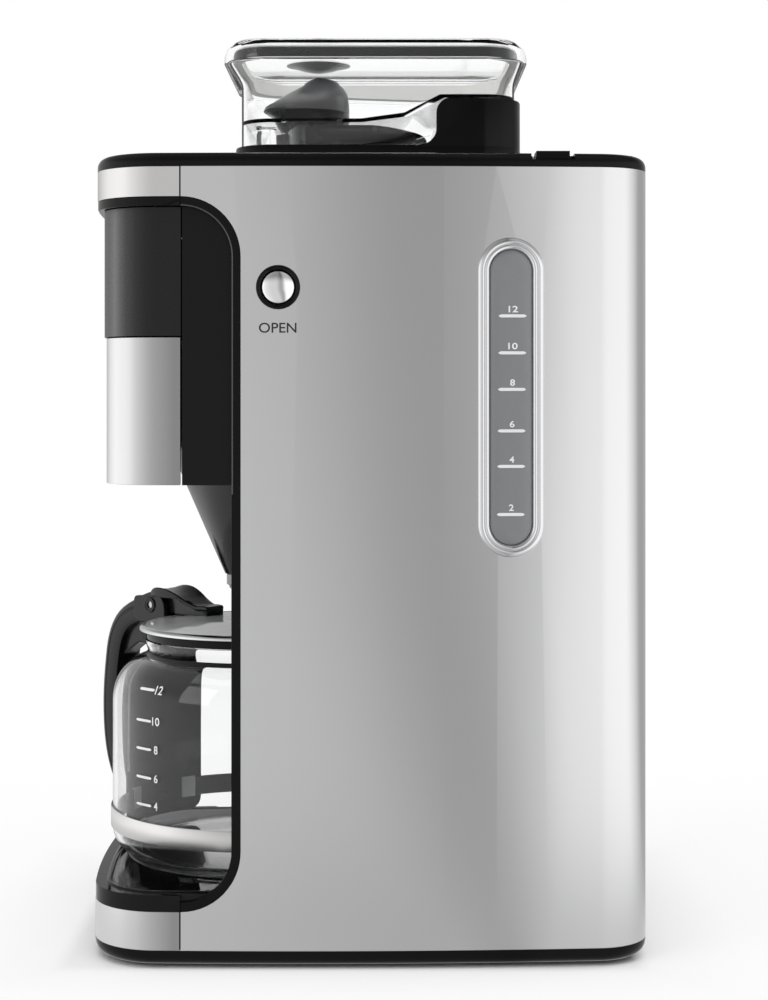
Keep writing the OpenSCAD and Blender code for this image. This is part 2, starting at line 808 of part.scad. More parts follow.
module ring_burr() {
    color("#8f9092")
        translate([0, burr_y, burr_top - burr_h])
            difference() {
                rotate_extrude($fn = fn_mid)
                    polygon([[24.4, 0], [chamber_r - wall, 0], [chamber_r - wall, burr_h], [12, burr_h]]);
                for (a = [0:30:330])
                    rotate(a) translate([12, -1, burr_h - 7]) rotate([0, -25, 0]) cube([4, 2, 12]);
            }
}

module cone_burr() {
    color("#8f9092")
        translate([0, burr_y, 0]) {
            translate([0, 0, gear_z + 4.5])
                cylinder(r = shaft_r, h = burr_top - burr_h - gear_z, $fn = fn_small);
            translate([0, 0, burr_top - burr_h])
                difference() {
                    rotate_extrude($fn = fn_mid)
                        polygon([[0, 0], [23.6, 0], [10, burr_h + 1], [4, burr_h + 6], [0, burr_h + 7]]);
                    for (a = [0:40:320])
                        rotate(a) translate([12.5, -1, burr_h - 6]) rotate([0, -30, 0]) cube([6, 2, 14]);
                }
            // paddle that sweeps the grounds to the chute
            translate([0, 0, chamber_z + 5]) {
                cylinder(r = 12, h = 3, $fn = fn_mid);
                for (a = [0, 180])
                    rotate(a) bar([-1.5, 0, 0], [1.5, chamber_r - wall - 1.5, 3]);
            }
        }
}

// ---------- hopper ----------
plinth_top = cap_top + plinth_h;
hopper_top = cap_top + hopper_h;
block_top = cap_top + block_h;
plinth_lo = [-62, burr_y - 38];
plinth_hi = [62, rear_y - 61.5];
block_y = rear_y - 113;
hopper_lo = [-58, burr_y - 35];
hopper_hi = [58, rear_y - 64.5];
rim_lo = [-lid_half_w + 2, burr_y - 41];
rim_hi = [lid_half_w - 2, rear_y - 61];
rim_z = hopper_top - 10.5;
hopper_t = 2;
floor_z = cap_top + 22.5;
drop_r = 19;

module plinth_outline(d) {
    round_rect(plinth_lo + [d, d], plinth_hi - [d, d], 20 - d);
}

module hopper_plinth() {
    color("#0f0f10") {
        difference() {
            union() {
                translate([0, 0, cap_top])
                    linear_extrude(plinth_h) plinth_outline(0);
                intersection() {
                    translate([0, 0, cap_top]) linear_extrude(block_h) plinth_outline(0.02);
                    along_x(-far / 2, far / 2) {
                        translate([block_y + 8, cap_top]) square([far, block_h - 8]);
                        translate([block_y + 8 + 8, cap_top]) square([far, block_h]);
                        translate([block_y + 16, block_top - 8]) circle(8, $fn = fn_mid);
                        difference() {
                            translate([block_y, cap_top]) square([10, plinth_h + 8]);
                            translate([block_y, plinth_top + 8]) circle(8, $fn = fn_mid);
                        }
                    }
                }
            }
            translate([0, burr_y, cap_top - 1]) cylinder(r = drop_r + 6, h = plinth_h + 2, $fn = fn_mid);
            bar([plinth_lo.x + 20, block_y + 11, cap_top - 1], [plinth_hi.x - 20, plinth_hi.y - 3, block_top - 3]);
        }
        translate([0, burr_y, cap_top]) tube(drop_r + 11, drop_r + 3, floor_z - cap_top - hopper_t - fit_gap);
    }
}

// Outline of the hopper between two heights, wider at the top
module hopper_solid(d, z0) {
    hull() {
        translate([0, 0, z0])
            linear_extrude(eps) round_rect(hopper_lo + [d, d], hopper_hi - [d, d], 16 - d, $fn = 32);
        translate([0, 0, rim_z - 12])
            linear_extrude(eps) round_rect(hopper_lo + [d - 1, d - 1], hopper_hi - [d - 1, d - 1], 16 - d);
        translate([0, 0, rim_z])
            linear_extrude(eps) round_rect(rim_lo + [d, d], rim_hi - [d, d], 16 - d);
    }
}

module hopper_body() {
    color("#dfe6ea")
        difference() {
            hopper_solid(0, plinth_top + fit_gap);
            difference() {
                hopper_solid(hopper_t, plinth_top);
                // funnel floor
                along_x(-body_w, body_w)
                    polygon([[-far / 2, floor_z - hopper_t], [block_y - 6, floor_z - hopper_t],
                             [block_y + 12, block_top + fit_gap], [far / 2, block_top + fit_gap],
                             [far / 2, block_top + fit_gap + hopper_t], [block_y + 10, block_top + fit_gap + hopper_t],
                             [block_y - 8, floor_z], [-far / 2, floor_z]]);
            }
            translate([0, 0, rim_z]) cylinder(r = far, h = far);
            // room for the block and its curved foot
            along_x(-body_w, body_w)
                polygon([[block_y - 2, 0], [block_y - 2, plinth_top + 3], [block_y + 5, plinth_top + 5],
                         [block_y + 7, block_top - 6], [block_y + 12, block_top + fit_gap],
                         [far, block_top + fit_gap], [far, 0]]);
            translate([0, burr_y, plinth_top - 1]) cylinder(r = drop_r, h = 30, $fn = fn_mid);
        }
}

module hopper_guide() {
    apex_z = hopper_top - 8.6;
    color("#4a4a4c")
        translate([0, burr_y, 0])
            difference() {
                rotate_extrude($fn = fn_mid)
                    polygon([[0, apex_z], [3, apex_z - 0.6], [guide_r - 1, apex_z - 14], [guide_r, apex_z - 16],
                             [guide_r, floor_z], [guide_r - 2, floor_z], [guide_r - 2, apex_z - 16],
                             [3, apex_z - 3], [0, apex_z - 2.6]]);
                for (a = [45:90:315])
                    rotate(a) bar([-8, guide_r - 6, floor_z - 1], [8, guide_r + 2, floor_z + 8]);
            }
}

module hopper_lid() {
    color("#dfe6ea")
        translate([0, 0, rim_z + fit_gap]) {
            difference() {
                linear_extrude(hopper_top - rim_z - fit_gap)
                    round_rect(rim_lo - [2, 2], rim_hi + [2, 2], 18);
                translate([0, 0, -1])
                    linear_extrude(hopper_top - rim_z - fit_gap - hopper_t)
                        round_rect(rim_lo, rim_hi, 16);
            }
        }
}

module lid_gasket() {
    color("#1a1a1a")
        translate([0, 0, rim_z + fit_gap + 1.2])
            linear_extrude(hopper_top - rim_z - fit_gap - hopper_t - 2.2)
                difference() {
                    round_rect(rim_lo + [0.05, 0.05], rim_hi - [0.05, 0.05], 16);
                    round_rect(rim_lo + [3, 3], rim_hi - [3, 3], 13);
                }
}

// ---------- right side ----------
open_y = seam_y + 47.3;
gauge_y = rear_y - 69.8;
gauge_z = tank_z + 79.3;

// An upright slot outline, w wide and h high, round at both ends, in (Y, Z)
module oblong(w, h) {
    translate([-w / 2, gauge_z - h / 2 + w / 2]) square([w, h - w]);
    for (s = [-1, 1])
        translate([0, gauge_z + s * (h - w) / 2]) circle(w / 2, $fn = fn_mid);
}

module gauge_frame() {
    color("#c9c9ca")
        on_side(gauge_y) {
            along_x(0.15, 2.2)
                difference() {
                    oblong(gauge_w, gauge_h);
                    oblong(window_w, gauge_h - gauge_w + window_w);
                }
            along_x(-0.9, 0.2)
                difference() {
                    oblong(gauge_w - 3.6, gauge_h - 3.6);
                    oblong(window_w, gauge_h - gauge_w + window_w);
                }
        }
}

module gauge_window() {
    color("#8d8f91")
        on_side(gauge_y)
            along_x(-0.9, 0.6)
                oblong(window_w - 0.1, gauge_h - gauge_w + window_w - 0.1);
}

module open_button_ring() {
    color("#1a1a1a")
        on_side(open_y)
            translate([-4, 0, open_z]) rotate([0, 90, 0])
                difference() {
                    union() {
                        cylinder(r = open_ring_r - 0.9, h = 4, $fn = fn_mid);
                        translate([0, 0, 4.1]) cylinder(r = open_ring_r, h = 1.1, $fn = fn_mid);
                        cylinder(r = open_ring_r - 0.9, h = 5, $fn = fn_mid);
                    }
                    translate([0, 0, -1]) cylinder(r = open_r + fit_gap, h = 10, $fn = fn_mid);
                }
}

stem_x0 = cheek_x0 - 6;

module open_button() {
    color("#d6d6d6")
        translate([0, open_y, open_z]) rotate([0, 90, 0])
            rotate_extrude($fn = fn_mid)
                polygon([[0, stem_x0], [3, stem_x0], [3, cheek_x1 + 0.6], [open_r, cheek_x1 + 0.6],
                         [open_r, body_w / 2 - 0.4],
                         for (t = [0:10:80]) [open_r * cos(t), body_w / 2 - 0.4 + 2.6 * sin(t)],
                         [0, body_w / 2 + 2.2]]);
}

module latch_bar() {
    color("#d9d9d6")
        along_x(stem_x0, stem_x0 + 3)
            difference() {
                polygon([[open_y - 8, open_z - 8], [open_y + 8, open_z - 8], [open_y + 8, open_z + 8],
                         [open_y - 8, open_z + 8], [seam_y + 14, open_z - 14], [seam_y + 3, ceiling_z - 4],
                         [seam_y + 3, ceiling_z - 16], [seam_y + 10, ceiling_z - 16],
                         [seam_y + 12, ceiling_z - 2]]);
                translate([open_y, open_z]) circle(3.1, $fn = fn_small);
            }
}

// ---------- door and basket ----------
carrier_in = door_in + steel_t;
shelf_z = door_top - 10;
shelf_t = 3.5;

module door_cover() {
    color("#c3c3c4")
        translate([0, 0, door_bottom])
            linear_extrude(door_h) front_wall(door_in, steel_t, seam_y - 0.4);
}

// One level of the carrier: its wall, with or without a shelf round the basket
module carrier_level(z, h, shelf) {
    translate([0, 0, z])
        linear_extrude(h)
            if (shelf)
                difference() {
                    union() {
                        between_y(-far / 2, seam_y - 0.8) plan(carrier_in);
                        translate([0, axis_y]) circle(basket_r + 5.5, $fn = fn_mid);
                    }
                    translate([0, axis_y]) circle(basket_r + 0.6, $fn = fn_mid);
                }
            else
                front_wall(carrier_in, wall, seam_y - 0.8);
}

module door_carrier() {
    z0 = door_bottom + 0.8;
    color("#19191b")
        difference() {
            union() {
                carrier_level(z0, shelf_z - z0, false);
                carrier_level(shelf_z, shelf_t, true);
                carrier_level(rim_under, door_top - 0.8 - rim_under, false);
                translate([hinge_x, hinge_y, door_bottom + 0.2])
                    cylinder(r = hinge_barrel_r, h = door_h - 0.4, $fn = fn_mid);
            }
            translate([hinge_x, hinge_y, door_bottom - 1])
                cylinder(r = hinge_pin_r + pin_gap, h = door_h + 2, $fn = fn_mid);
        }
}

cone_top_z = spout_z + (basket_r - 2 - spout_r) * 2.29;
rim_under = shelf_z + shelf_t;

module filter_basket() {
    color("#2a2a2c")
        translate([0, axis_y, 0])
            difference() {
                rotate_extrude($fn = fn_mid)
                    polygon([[basket_r + 3.5, rim_under + 2.4], [basket_r + 3.5, rim_under], [basket_r, rim_under],
                             [basket_r - 2, cone_top_z], [spout_r, spout_z], [0, spout_z],
                             [0, spout_z + 2], [spout_r - 1.4, spout_z + 2],
                             [basket_r - 4, cone_top_z + 0.8], [basket_r - 2, rim_under + 2.4]]);
                translate([0, 0, spout_z - 1]) cylinder(r = 3.4, h = 4, $fn = fn_small);
            }
}

module mesh_filter() {
    top = rim_under + 2;
    color("#b99b5a")
        translate([0, axis_y, 0])
            rotate_extrude($fn = fn_mid)
                polygon([[basket_r - 2.4, top], [basket_r - 3.4, top - 6], [basket_r - 7, cone_top_z + 2],
                         [spout_r + 4, spout_z + 16], [0, spout_z + 16], [0, spout_z + 17],
                         [spout_r + 3.4, spout_z + 17], [basket_r - 7.8, cone_top_z + 2.4],
                         [basket_r - 4.4, top - 6], [basket_r - 4.4, top]]);
}

seat_h = 8;

module valve_seat() {
    color("#8c8e90")
        translate([0, axis_y, spout_z - seat_h])
            tube(spout_r - 1, spout_r - 3.4, seat_h);
}

valve_lift = 2.5;

module drip_valve() {
    color("#3a3a3c")
        translate([0, axis_y, 0])
            rotate_extrude($fn = fn_small)
                polygon([[0, spout_z - seat_h - 0.6], [8, spout_z - seat_h - 0.6], [11.5, spout_z - seat_h + 0.6],
                         [11.5, spout_z - seat_h + 2], [3, spout_z - seat_h + 2], [3, spout_z + 2 + fit_gap],
                         [7, spout_z + 2 + fit_gap], [7, spout_z + 4], [3, spout_z + 6], [0, spout_z + 6]]);
}

module valve_spring() {
    turns = 3;
    lo = spout_z - seat_h + 2.6;
    color("#c8c8c8")
        translate([0, axis_y, 0])
            for (i = [0:turns])
                translate([0, 0, lo + i * (spout_z - 0.6 - lo) / turns])
                    rotate_extrude($fn = fn_mid) translate([5, 0]) circle(0.5, $fn = 16);
}

// ---------- carafe ----------
carafe_z = deck_z + plate_rise + fit_gap;
shoulder_z = carafe_z + glass_h * 0.72;
neck_z = shoulder_z + 23;
glass_top = carafe_z + glass_h;
foot_round = 14;

// Half outline of the glass, drawn in by d from the outside
function glass_side(d) = concat(
    [for (t = [-90:15:0]) [glass_r - foot_round, carafe_z + foot_round] + polar(foot_round - d, t)],
    [for (t = [0:10:80]) [neck_r - d + (glass_r - neck_r) * cos(t), shoulder_z + (23 + d / 4) * sin(t)]],
    [[neck_r - d, neck_z], [neck_r - d + 0.5, neck_z + 1.5], [neck_r + 2.5 - d, glass_top - 0.8],
     [neck_r + 2.5 - d, glass_top]]);

module carafe_glass() {
    outer = glass_side(0);
    inner = glass_side(glass_t);
    last = len(inner) - 1;
    color("#e8eef0")
        translate([0, axis_y, 0])
            rotate_extrude($fn = fn_mid)
                polygon(concat([[0, carafe_z]], outer, [for (i = [last:-1:0]) inner[i]],
                               [[0, carafe_z + glass_t]]));
}

band_z = carafe_z + foot_round + 0.2;

module carafe_band() {
    color("#c9c9ca")
        translate([0, axis_y, band_z]) tube(glass_r + 0.95, glass_r + 0.1, carafe_band_h);
}

collar_r = neck_r + 5.5;

module carafe_collar() {
    color("#2c2c2e")
        translate([0, axis_y, glass_top - 6])
            tube(collar_r, neck_r + 2.8, 5.5);
}

grip_out = glass_r + handle_reach;
plate_in = glass_r + 1.2;
plate_thick = 3;
plate_low = carafe_z + 6;
plate_high = shoulder_z + 4;
lid_hinge_r = collar_r + 10;
lid_hinge_h = glass_top + 13;
ear_w = 3;

module to_handle() {
    translate([0, axis_y, 0]) rotate(-90 - handle_turn) children();
}

// Side outline of the grip in (distance from the axis, height)
function grip_outer() = concat(
    [[lid_hinge_r - 4, lid_hinge_h - 7], [lid_hinge_r - 6, lid_hinge_h + 1], [lid_hinge_r + 2, lid_hinge_h + 4]],
    [for (t = [85:-15:10]) [grip_out - 26, lid_hinge_h - 24] + [26 * cos(t), 27 * sin(t)]],
    [[grip_out, shoulder_z + 8], [grip_out - 1, shoulder_z - 18], [grip_out - 7, band_z + 30],
     [grip_out - 17, band_z + 12], [plate_in + plate_thick + 8, band_z + 4], [plate_in + 1, band_z + 4]]);

function grip_inner() = concat(
    [[plate_in + 1, band_z + 16], [plate_in + plate_thick + 6, band_z + 16], [grip_out - 26, band_z + 26],
     [grip_out - 18, band_z + 42], [grip_out - 13, shoulder_z - 14], [grip_out - 12, shoulder_z + 6]],
    [for (t = [0:15:75]) [grip_out - 30, lid_hinge_h - 28] + [18 * cos(t), 18 * sin(t)]],
    [[lid_hinge_r + 4, lid_hinge_h - 12]]);

module carafe_handle() {
    color("#141416")
        difference() {
            union() {
                to_handle()
                    translate([0, handle_w / 2, 0]) rotate([90, 0, 0])
                        linear_extrude(handle_w) polygon(concat(grip_outer(), grip_inner()));
                // plate against the glass
                to_handle()
                    translate([0, 0, plate_low]) rotate(-20)
                        rotate_extrude(angle = 40, $fn = fn_big)
                            translate([plate_in, 0]) square([plate_thick, plate_high - plate_low]);
                // bracket from the collar to the grip
                to_handle()
                    difference() {
                        translate([0, -handle_w / 2, glass_top - 6]) cube([lid_hinge_r + 6, handle_w, 14]);
                        translate([0, 0, glass_top - 20]) cylinder(r = collar_r + 0.1, h = 40, $fn = fn_mid);
                        translate([0, 0, glass_top - 0.1]) cylinder(r = collar_r + 3.5, h = 40, $fn = fn_mid);
                    }
            }
            // slot for the lid's knuckle and bore for its pin
            to_handle() {
                bar([0, -handle_w / 2 + ear_w, glass_top + 2], [lid_hinge_r + 6, handle_w / 2 - ear_w, far]);
                translate([lid_hinge_r, 0, lid_hinge_h]) rotate([90, 0, 0])
                    cylinder(r = 2, h = far, center = true, $fn = fn_small);
            }
        }
}

module handle_screws() {
    color("#c8c8c8")
        to_handle()
            for (z = [plate_low + 6.5, plate_high - 14])
                translate([plate_in + plate_thick + 0.02, 0, z]) rotate([0, 90, 0])
                    cylinder(r = 3, h = 1.2, $fn = fn_small);
}

module lid_pin() {
    color("#c8c8c8")
        to_handle()
            translate([lid_hinge_r, 0, lid_hinge_h]) rotate([90, 0, 0])
                cylinder(r = 2, h = handle_w, center = true, $fn = fn_small);
}

dome_r = collar_r - 1.5;
dome_top = glass_top + fit_gap + 11.1;

module carafe_lid() {
    z0 = glass_top + fit_gap;
    color("#d9dde0")
        translate([0, axis_y, 0])
            rotate_extrude($fn = fn_mid)
                polygon([[10, z0 + 10.4], [18, z0 + 11], for (t = [0:15:60]) [18 + (dome_r - 18) * sin(t + 15) * 1.02, z0 + 2 + 9 * cos(t + 15) * 1.03],
                         [dome_r, z0 + 3], [dome_r, z0], [dome_r - 2, z0], [dome_r - 6, z0 + 3], [18, z0 + 8.6], [10, z0 + 8]]);
}

module lid_lever() {
    w = handle_w - 2 * ear_w - 0.8;
    color("#141416")
        to_handle()
            difference() {
                translate([0, w / 2, 0]) rotate([90, 0, 0])
                    linear_extrude(w)
                        polygon([[lid_hinge_r - 50, dome_top + 0.25], [lid_hinge_r - 50, lid_hinge_h + 2.5],
                                 [lid_hinge_r - 34, lid_hinge_h + 4], [lid_hinge_r - 20, lid_hinge_h + 8],
                                 [lid_hinge_r - 10, lid_hinge_h + 10], [lid_hinge_r - 1, lid_hinge_h + 8],
                                 [lid_hinge_r + 4, lid_hinge_h + 3], [lid_hinge_r + 4, lid_hinge_h - 3],
                                 [lid_hinge_r, lid_hinge_h - 4], [lid_hinge_r - 4, lid_hinge_h - 6],
                                 [lid_hinge_r - 11, dome_top - 6.6], [lid_hinge_r - 14, dome_top - 4.5],
                                 [lid_hinge_r - 22, dome_top - 2.2], [lid_hinge_r - 32, dome_top - 0.45]]);
                translate([lid_hinge_r, 0, lid_hinge_h]) rotate([90, 0, 0])
                    cylinder(r = 2 + pin_gap, h = far, center = true, $fn = fn_small);
            }
}

base_pan();
rubber_feet();
body_shell();
front_band_lower();
front_band_upper();
base_deck();
warming_plate();
heater_tube();
bay_liner();
side_trim_right();
side_trim_left();
head_frame();
head_plate();
control_panel();
display_window();
control_board();
top_cap();
water_tank();
riser_hose();
shower_head();
grinder_motor();
gearbox();
burr_chamber();
ring_burr();
grounds_chute();
hopper_plinth();
gauge_frame();
gauge_window();
open_button_ring();
door_hinge_pin();
tank_lid_pin();
base_screws();
cord_gland();
door_cover();
door_carrier();
filter_basket();
mesh_filter();
valve_seat();
drip_valve();
valve_spring();
open_button();
latch_bar();
key_power();
key_grind();
key_strength();
key_cups();
tank_lid();
hopper_body();
hopper_guide();
hopper_lid();
lid_gasket();
cone_burr();
carafe_glass();
carafe_band();
carafe_collar();
carafe_handle();
handle_screws();
lid_pin();
carafe_lid();
lid_lever();
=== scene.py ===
"""Looks of the coffee maker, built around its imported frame. Metres; +Z up, the front faces -Y."""
import json
import math

import bmesh
import bpy
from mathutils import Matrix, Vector

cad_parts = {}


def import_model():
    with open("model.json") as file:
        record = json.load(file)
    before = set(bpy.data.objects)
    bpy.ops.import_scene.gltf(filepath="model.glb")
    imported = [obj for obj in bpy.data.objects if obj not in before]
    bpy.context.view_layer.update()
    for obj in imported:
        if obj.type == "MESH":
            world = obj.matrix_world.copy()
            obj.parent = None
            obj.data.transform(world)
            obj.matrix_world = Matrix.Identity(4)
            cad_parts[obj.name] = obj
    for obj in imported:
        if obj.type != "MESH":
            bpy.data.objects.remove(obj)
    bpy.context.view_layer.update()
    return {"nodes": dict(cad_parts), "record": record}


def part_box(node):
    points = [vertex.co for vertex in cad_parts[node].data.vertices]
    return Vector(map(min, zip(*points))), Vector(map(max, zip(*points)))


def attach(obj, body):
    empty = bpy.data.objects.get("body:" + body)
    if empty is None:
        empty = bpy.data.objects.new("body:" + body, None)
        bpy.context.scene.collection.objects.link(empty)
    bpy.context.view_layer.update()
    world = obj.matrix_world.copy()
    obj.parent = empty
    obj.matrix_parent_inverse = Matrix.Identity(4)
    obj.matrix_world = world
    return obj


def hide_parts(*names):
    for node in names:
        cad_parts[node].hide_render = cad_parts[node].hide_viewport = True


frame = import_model()
MM = 0.001


# ---------- shader nodes ----------
def add(tree, kind, sockets=None, **settings):
    """A new shader node. A socket takes a number or colour, or a link from another node's output."""
    node = tree.nodes.new("ShaderNode" + kind)
    for key, value in settings.items():
        setattr(node, key, value)
    for key, value in (sockets or {}).items():
        if isinstance(value, bpy.types.NodeSocket):
            tree.links.new(value, node.inputs[key])
        else:
            node.inputs[key].default_value = value
    return node


def math_node(tree, operation, *values, clamp=False):
    """The result of a sum on numbers and outputs."""
    node = add(tree, "Math", dict(enumerate(values)), operation=operation, use_clamp=clamp)
    return node.outputs["Value"]


def ramp(tree, value, stops):
    """A grey level that follows a value through its stops, [(value, level), ...]."""
    first, last = stops[0][0], stops[-1][0]
    share = add(tree, "MapRange", {"From Min": first, "From Max": last, "Value": value})
    node = add(tree, "ValToRGB", {"Fac": share.outputs["Result"]})
    marks = node.color_ramp.elements
    for at, level in stops:
        place = (at - first) / (last - first)
        mark = marks[0] if at == first else marks[-1] if at == last else marks.new(place)
        mark.position = place
        mark.color = (level, level, level, 1)
    return node.outputs["Color"]


def main_shader(mat):
    """The node tree of a material and its main shader."""
    return mat.node_tree, mat.node_tree.nodes["Principled BSDF"]


# ---------- materials ----------
def noise(tree, grain, detail):
    """A noise texture in object space. Its grain is one number, or one for each axis."""
    scale = grain if isinstance(grain, tuple) else (grain, grain, grain)
    place = add(tree, "TexCoord")
    mapping = add(tree, "Mapping", {"Scale": scale, "Vector": place.outputs["Object"]})
    tex = add(tree, "TexNoise", {"Scale": 1, "Detail": detail, "Vector": mapping.outputs["Vector"]})
    return tex.outputs["Fac"]


def surface(name, color, rough, metallic=0.0, grain=900, rough_var=0.05, bump=0.0, shade_var=0.06,
            **sockets):
    """An opaque finish: colour that varies softly, and roughness and bump that follow the grain."""
    mat = bpy.data.materials.new(name)
    mat.use_nodes = True
    tree, bsdf = main_shader(mat)
    fine, broad = noise(tree, grain, 3), noise(tree, 18, 2)
    level = math_node(tree, "MULTIPLY_ADD", fine, 0.5, math_node(tree, "MULTIPLY", broad, 0.5))
    dark, pale = ([min(1, c * (1 + way * shade_var)) for c in color] + [1] for way in (-1, 1))
    mix = add(tree, "Mix", {"A": dark, "B": pale, "Factor": level}, data_type="RGBA")
    tree.links.new(mix.outputs["Result"], bsdf.inputs["Base Color"])
    # most of the noise lies between these two, so the roughness uses its whole span
    gloss = add(tree, "MapRange", {"From Min": 0.3, "From Max": 0.7, "To Min": rough - rough_var,
                                   "To Max": rough + rough_var, "Value": fine})
    tree.links.new(gloss.outputs["Result"], bsdf.inputs["Roughness"])
    bsdf.inputs["Metallic"].default_value = metallic
    if bump:
        relief = add(tree, "Bump", {"Strength": 0.6, "Distance": bump, "Height": fine})
        tree.links.new(relief.outputs["Normal"], bsdf.inputs["Normal"])
    for socket, value in sockets.items():
        bsdf.inputs[socket.replace("_", " ")].default_value = value
    return mat


def brushed(name, color, rough):
    """Brushed stainless: long fine streaks that lie level round the body."""
    mat = surface(name, color, rough, 1.0, (9, 9, 2600), 0.02, 8e-7, 0.02, Anisotropic=0.9,
                  Anisotropic_Rotation=0.25)
    tree, bsdf = main_shader(mat)
    tangent = add(tree, "Tangent", direction_type="RADIAL", axis="Z")
    tree.links.new(tangent.outputs["Tangent"], bsdf.inputs["Tangent"])
    return mat


def clear(name, color, ior, rough):
    """Clear plastic or glass, which lets shadow light through."""
    mat = surface(name, color, rough, 0.0, 60, rough * 0.4, 0, 0.01, IOR=ior,
                  Transmission_Weight=1.0)
    tree, bsdf = main_shader(mat)
    path = add(tree, "LightPath")
    pale = add(tree, "BsdfTransparent", {"Color": [0.6 + 0.35 * c for c in color] + [1]})
    mix = add(tree, "MixShader", {"Fac": path.outputs["Is Shadow Ray"], 1: bsdf.outputs["BSDF"],
                                  2: pale.outputs["BSDF"]})
    tree.links.new(mix.outputs["Shader"], tree.nodes["Material Output"].inputs["Surface"])
    return mat


STEEL = brushed("brushed_steel", (0.72, 0.72, 0.725), 0.22)
BAND = brushed("brushed_band", (0.74, 0.73, 0.725), 0.24)
# the door and the lower band steels get a painted reflection in their base colour further down
DOOR_PAINTED_REFLECTION = brushed("door_painted_reflection", (0.6, 0.6, 0.605), 0.22)
LOWER_BAND_PAINTED_REFLECTION = brushed("front_band_painted_reflection", (0.8, 0.795, 0.79), 0.22)
GLOSS = surface("gloss_black", (0.0035, 0.0035, 0.004), 0.07, grain=400, rough_var=0.025,
                bump=4e-7, Specular_IOR_Level=0.14)
SATIN = surface("satin_black", (0.004, 0.004, 0.0043), 0.34, grain=1600, bump=2.5e-6,
                Specular_IOR_Level=0.2)
GUIDE = surface("smoke_grey", (0.05, 0.05, 0.052), 0.35, grain=60, shade_var=0.03,
                Specular_IOR_Level=0.3)
SMOKE = surface("smoke_dark", (0.02, 0.02, 0.021), 0.25, grain=60, shade_var=0.03,
                Specular_IOR_Level=0.3)
# the control panel's black gets a painted highlight in its base colour further down
PANEL_PAINTED_HIGHLIGHT = surface("panel_painted_highlight", (0.004, 0.004, 0.0043), 0.3, grain=1600, bump=1.5e-6,
                Specular_IOR_Level=0.35)
FUNNEL = surface("funnel_black", (0.006, 0.006, 0.0063), 0.16, grain=700,
                 Specular_IOR_Level=0.6)
# painted highlight: a paler grey for the beads along the side trims, standing in for the light line on their
# inner edge
BEAD_PAINTED_HIGHLIGHT = surface("trim_bead_painted_highlight", (0.05, 0.05, 0.05), 0.25)
DECK = surface("deck_black", (0.003, 0.003, 0.0032), 0.045, grain=300, rough_var=0.01,
               Specular_IOR_Level=0.22)
HANDLE = surface("handle_black", (0.006, 0.006, 0.0063), 0.2, grain=500, bump=2e-7,
                 Specular_IOR_Level=0.4)
RIM = surface("bright_rim", (0.72, 0.72, 0.73), 0.16, 1.0, 200, 0.03, 0, 0.03)
SEAT = surface("seat_grey", (0.3, 0.305, 0.31), 0.3, grain=60, shade_var=0.03)
PALE = surface("pale_clear", (0.92, 0.93, 0.94), 0.1, grain=60, shade_var=0.03,
               Coat_Weight=0.6, Coat_Roughness=0.04)
RUBBER = surface("rubber", (0.03, 0.03, 0.03), 0.78, grain=1200, bump=1e-5)
CHROME = surface("chrome", (0.86, 0.86, 0.87), 0.11, 1.0, 300, 0.02, 0, 0.02)
PLAIN = surface("plain_steel", (0.55, 0.55, 0.56), 0.28, 1.0, (200, 200, 900), 0.06, 2e-6)
CLEAR = clear("clear_plastic", (0.99, 0.993, 0.995), 1.16, 0.02)
COVER = clear("cover_clear", (0.985, 0.99, 0.992), 1.32, 0.02)
GLASS = clear("carafe_glass", (0.99, 0.996, 0.996), 1.4, 0.01)
WINDOW = surface("window_grey", (0.20, 0.205, 0.21), 0.22, grain=300, rough_var=0.04,
                 Coat_Weight=0.6, Coat_Roughness=0.05)
TANK = surface("tank_plastic", (0.62, 0.66, 0.68), 0.3, grain=500, Transmission_Weight=0.45)
SILICONE = surface("silicone", (0.72, 0.72, 0.69), 0.6, grain=700, bump=3e-6)
WHITE = surface("white_plastic", (0.72, 0.72, 0.70), 0.4, bump=2e-6)
BURR = surface("burr_steel", (0.32, 0.32, 0.33), 0.4, 1.0, (900, 900, 200), 0.08, 5e-6)
BOARD = surface("board_green", (0.02, 0.14, 0.06), 0.4, grain=500, bump=3e-6)
DISPLAY = surface("display_glass", (0.012, 0.018, 0.024), 0.08, grain=200, rough_var=0.02,
                  Coat_Weight=0.8)
MESH_GOLD = surface("mesh_gold", (0.55, 0.38, 0.14), 0.35, 1.0, 1800, 0.1, 2e-5)
PLATE = surface("plate_black", (0.02, 0.02, 0.021), 0.3, grain=1500, rough_var=0.08, bump=8e-6)
PRINT = surface("white_print", (0.82, 0.82, 0.82), 0.55, grain=2000)
DARK_PRINT = surface("grey_print", (0.012, 0.012, 0.012), 0.6, grain=2000)

FINISH = {
    "steel_brushed": STEEL, "black_gloss": GLOSS, "black_moulded": SATIN, "chrome_parts": CHROME,
    "clear_plastic": CLEAR, "carafe_glass": GLASS, "window_grey": WINDOW, "tank_plastic": TANK,
    "rubber": RUBBER, "silicone": SILICONE, "plain_steel": PLAIN, "burr_steel": BURR,
    "board_green": BOARD, "display_glass": DISPLAY, "mesh_gold": MESH_GOLD, "plate_black": PLATE,
    "white_plastic": WHITE,
}
# nodes that look different from the rest of their slot; the door and the lower band carry a painted
# reflection, and the control panel a painted highlight
OWN = {
    "front_band_lower": LOWER_BAND_PAINTED_REFLECTION, "front_band_upper": BAND, "door_cover": DOOR_PAINTED_REFLECTION,
    "control_panel": PANEL_PAINTED_HIGHLIGHT, "base_deck": DECK,
}


def assign(obj, mat):
    obj.data.materials.clear()
    obj.data.materials.append(mat)


def graded(mat, *stops):
    """Lets a finish change along Y, with stops (y in millimetres, level) from front to rear. The levels paint
    reflections and highlights into its base colour.
    """
    tree, bsdf = main_shader(mat)
    where = add(tree, "TexCoord")
    parts = add(tree, "SeparateXYZ", {"Vector": where.outputs["Object"]})
    tone = ramp(tree, parts.outputs["Y"], [(y * MM, level) for y, level in stops])
    tree.links.new(tone, bsdf.inputs["Base Color"])
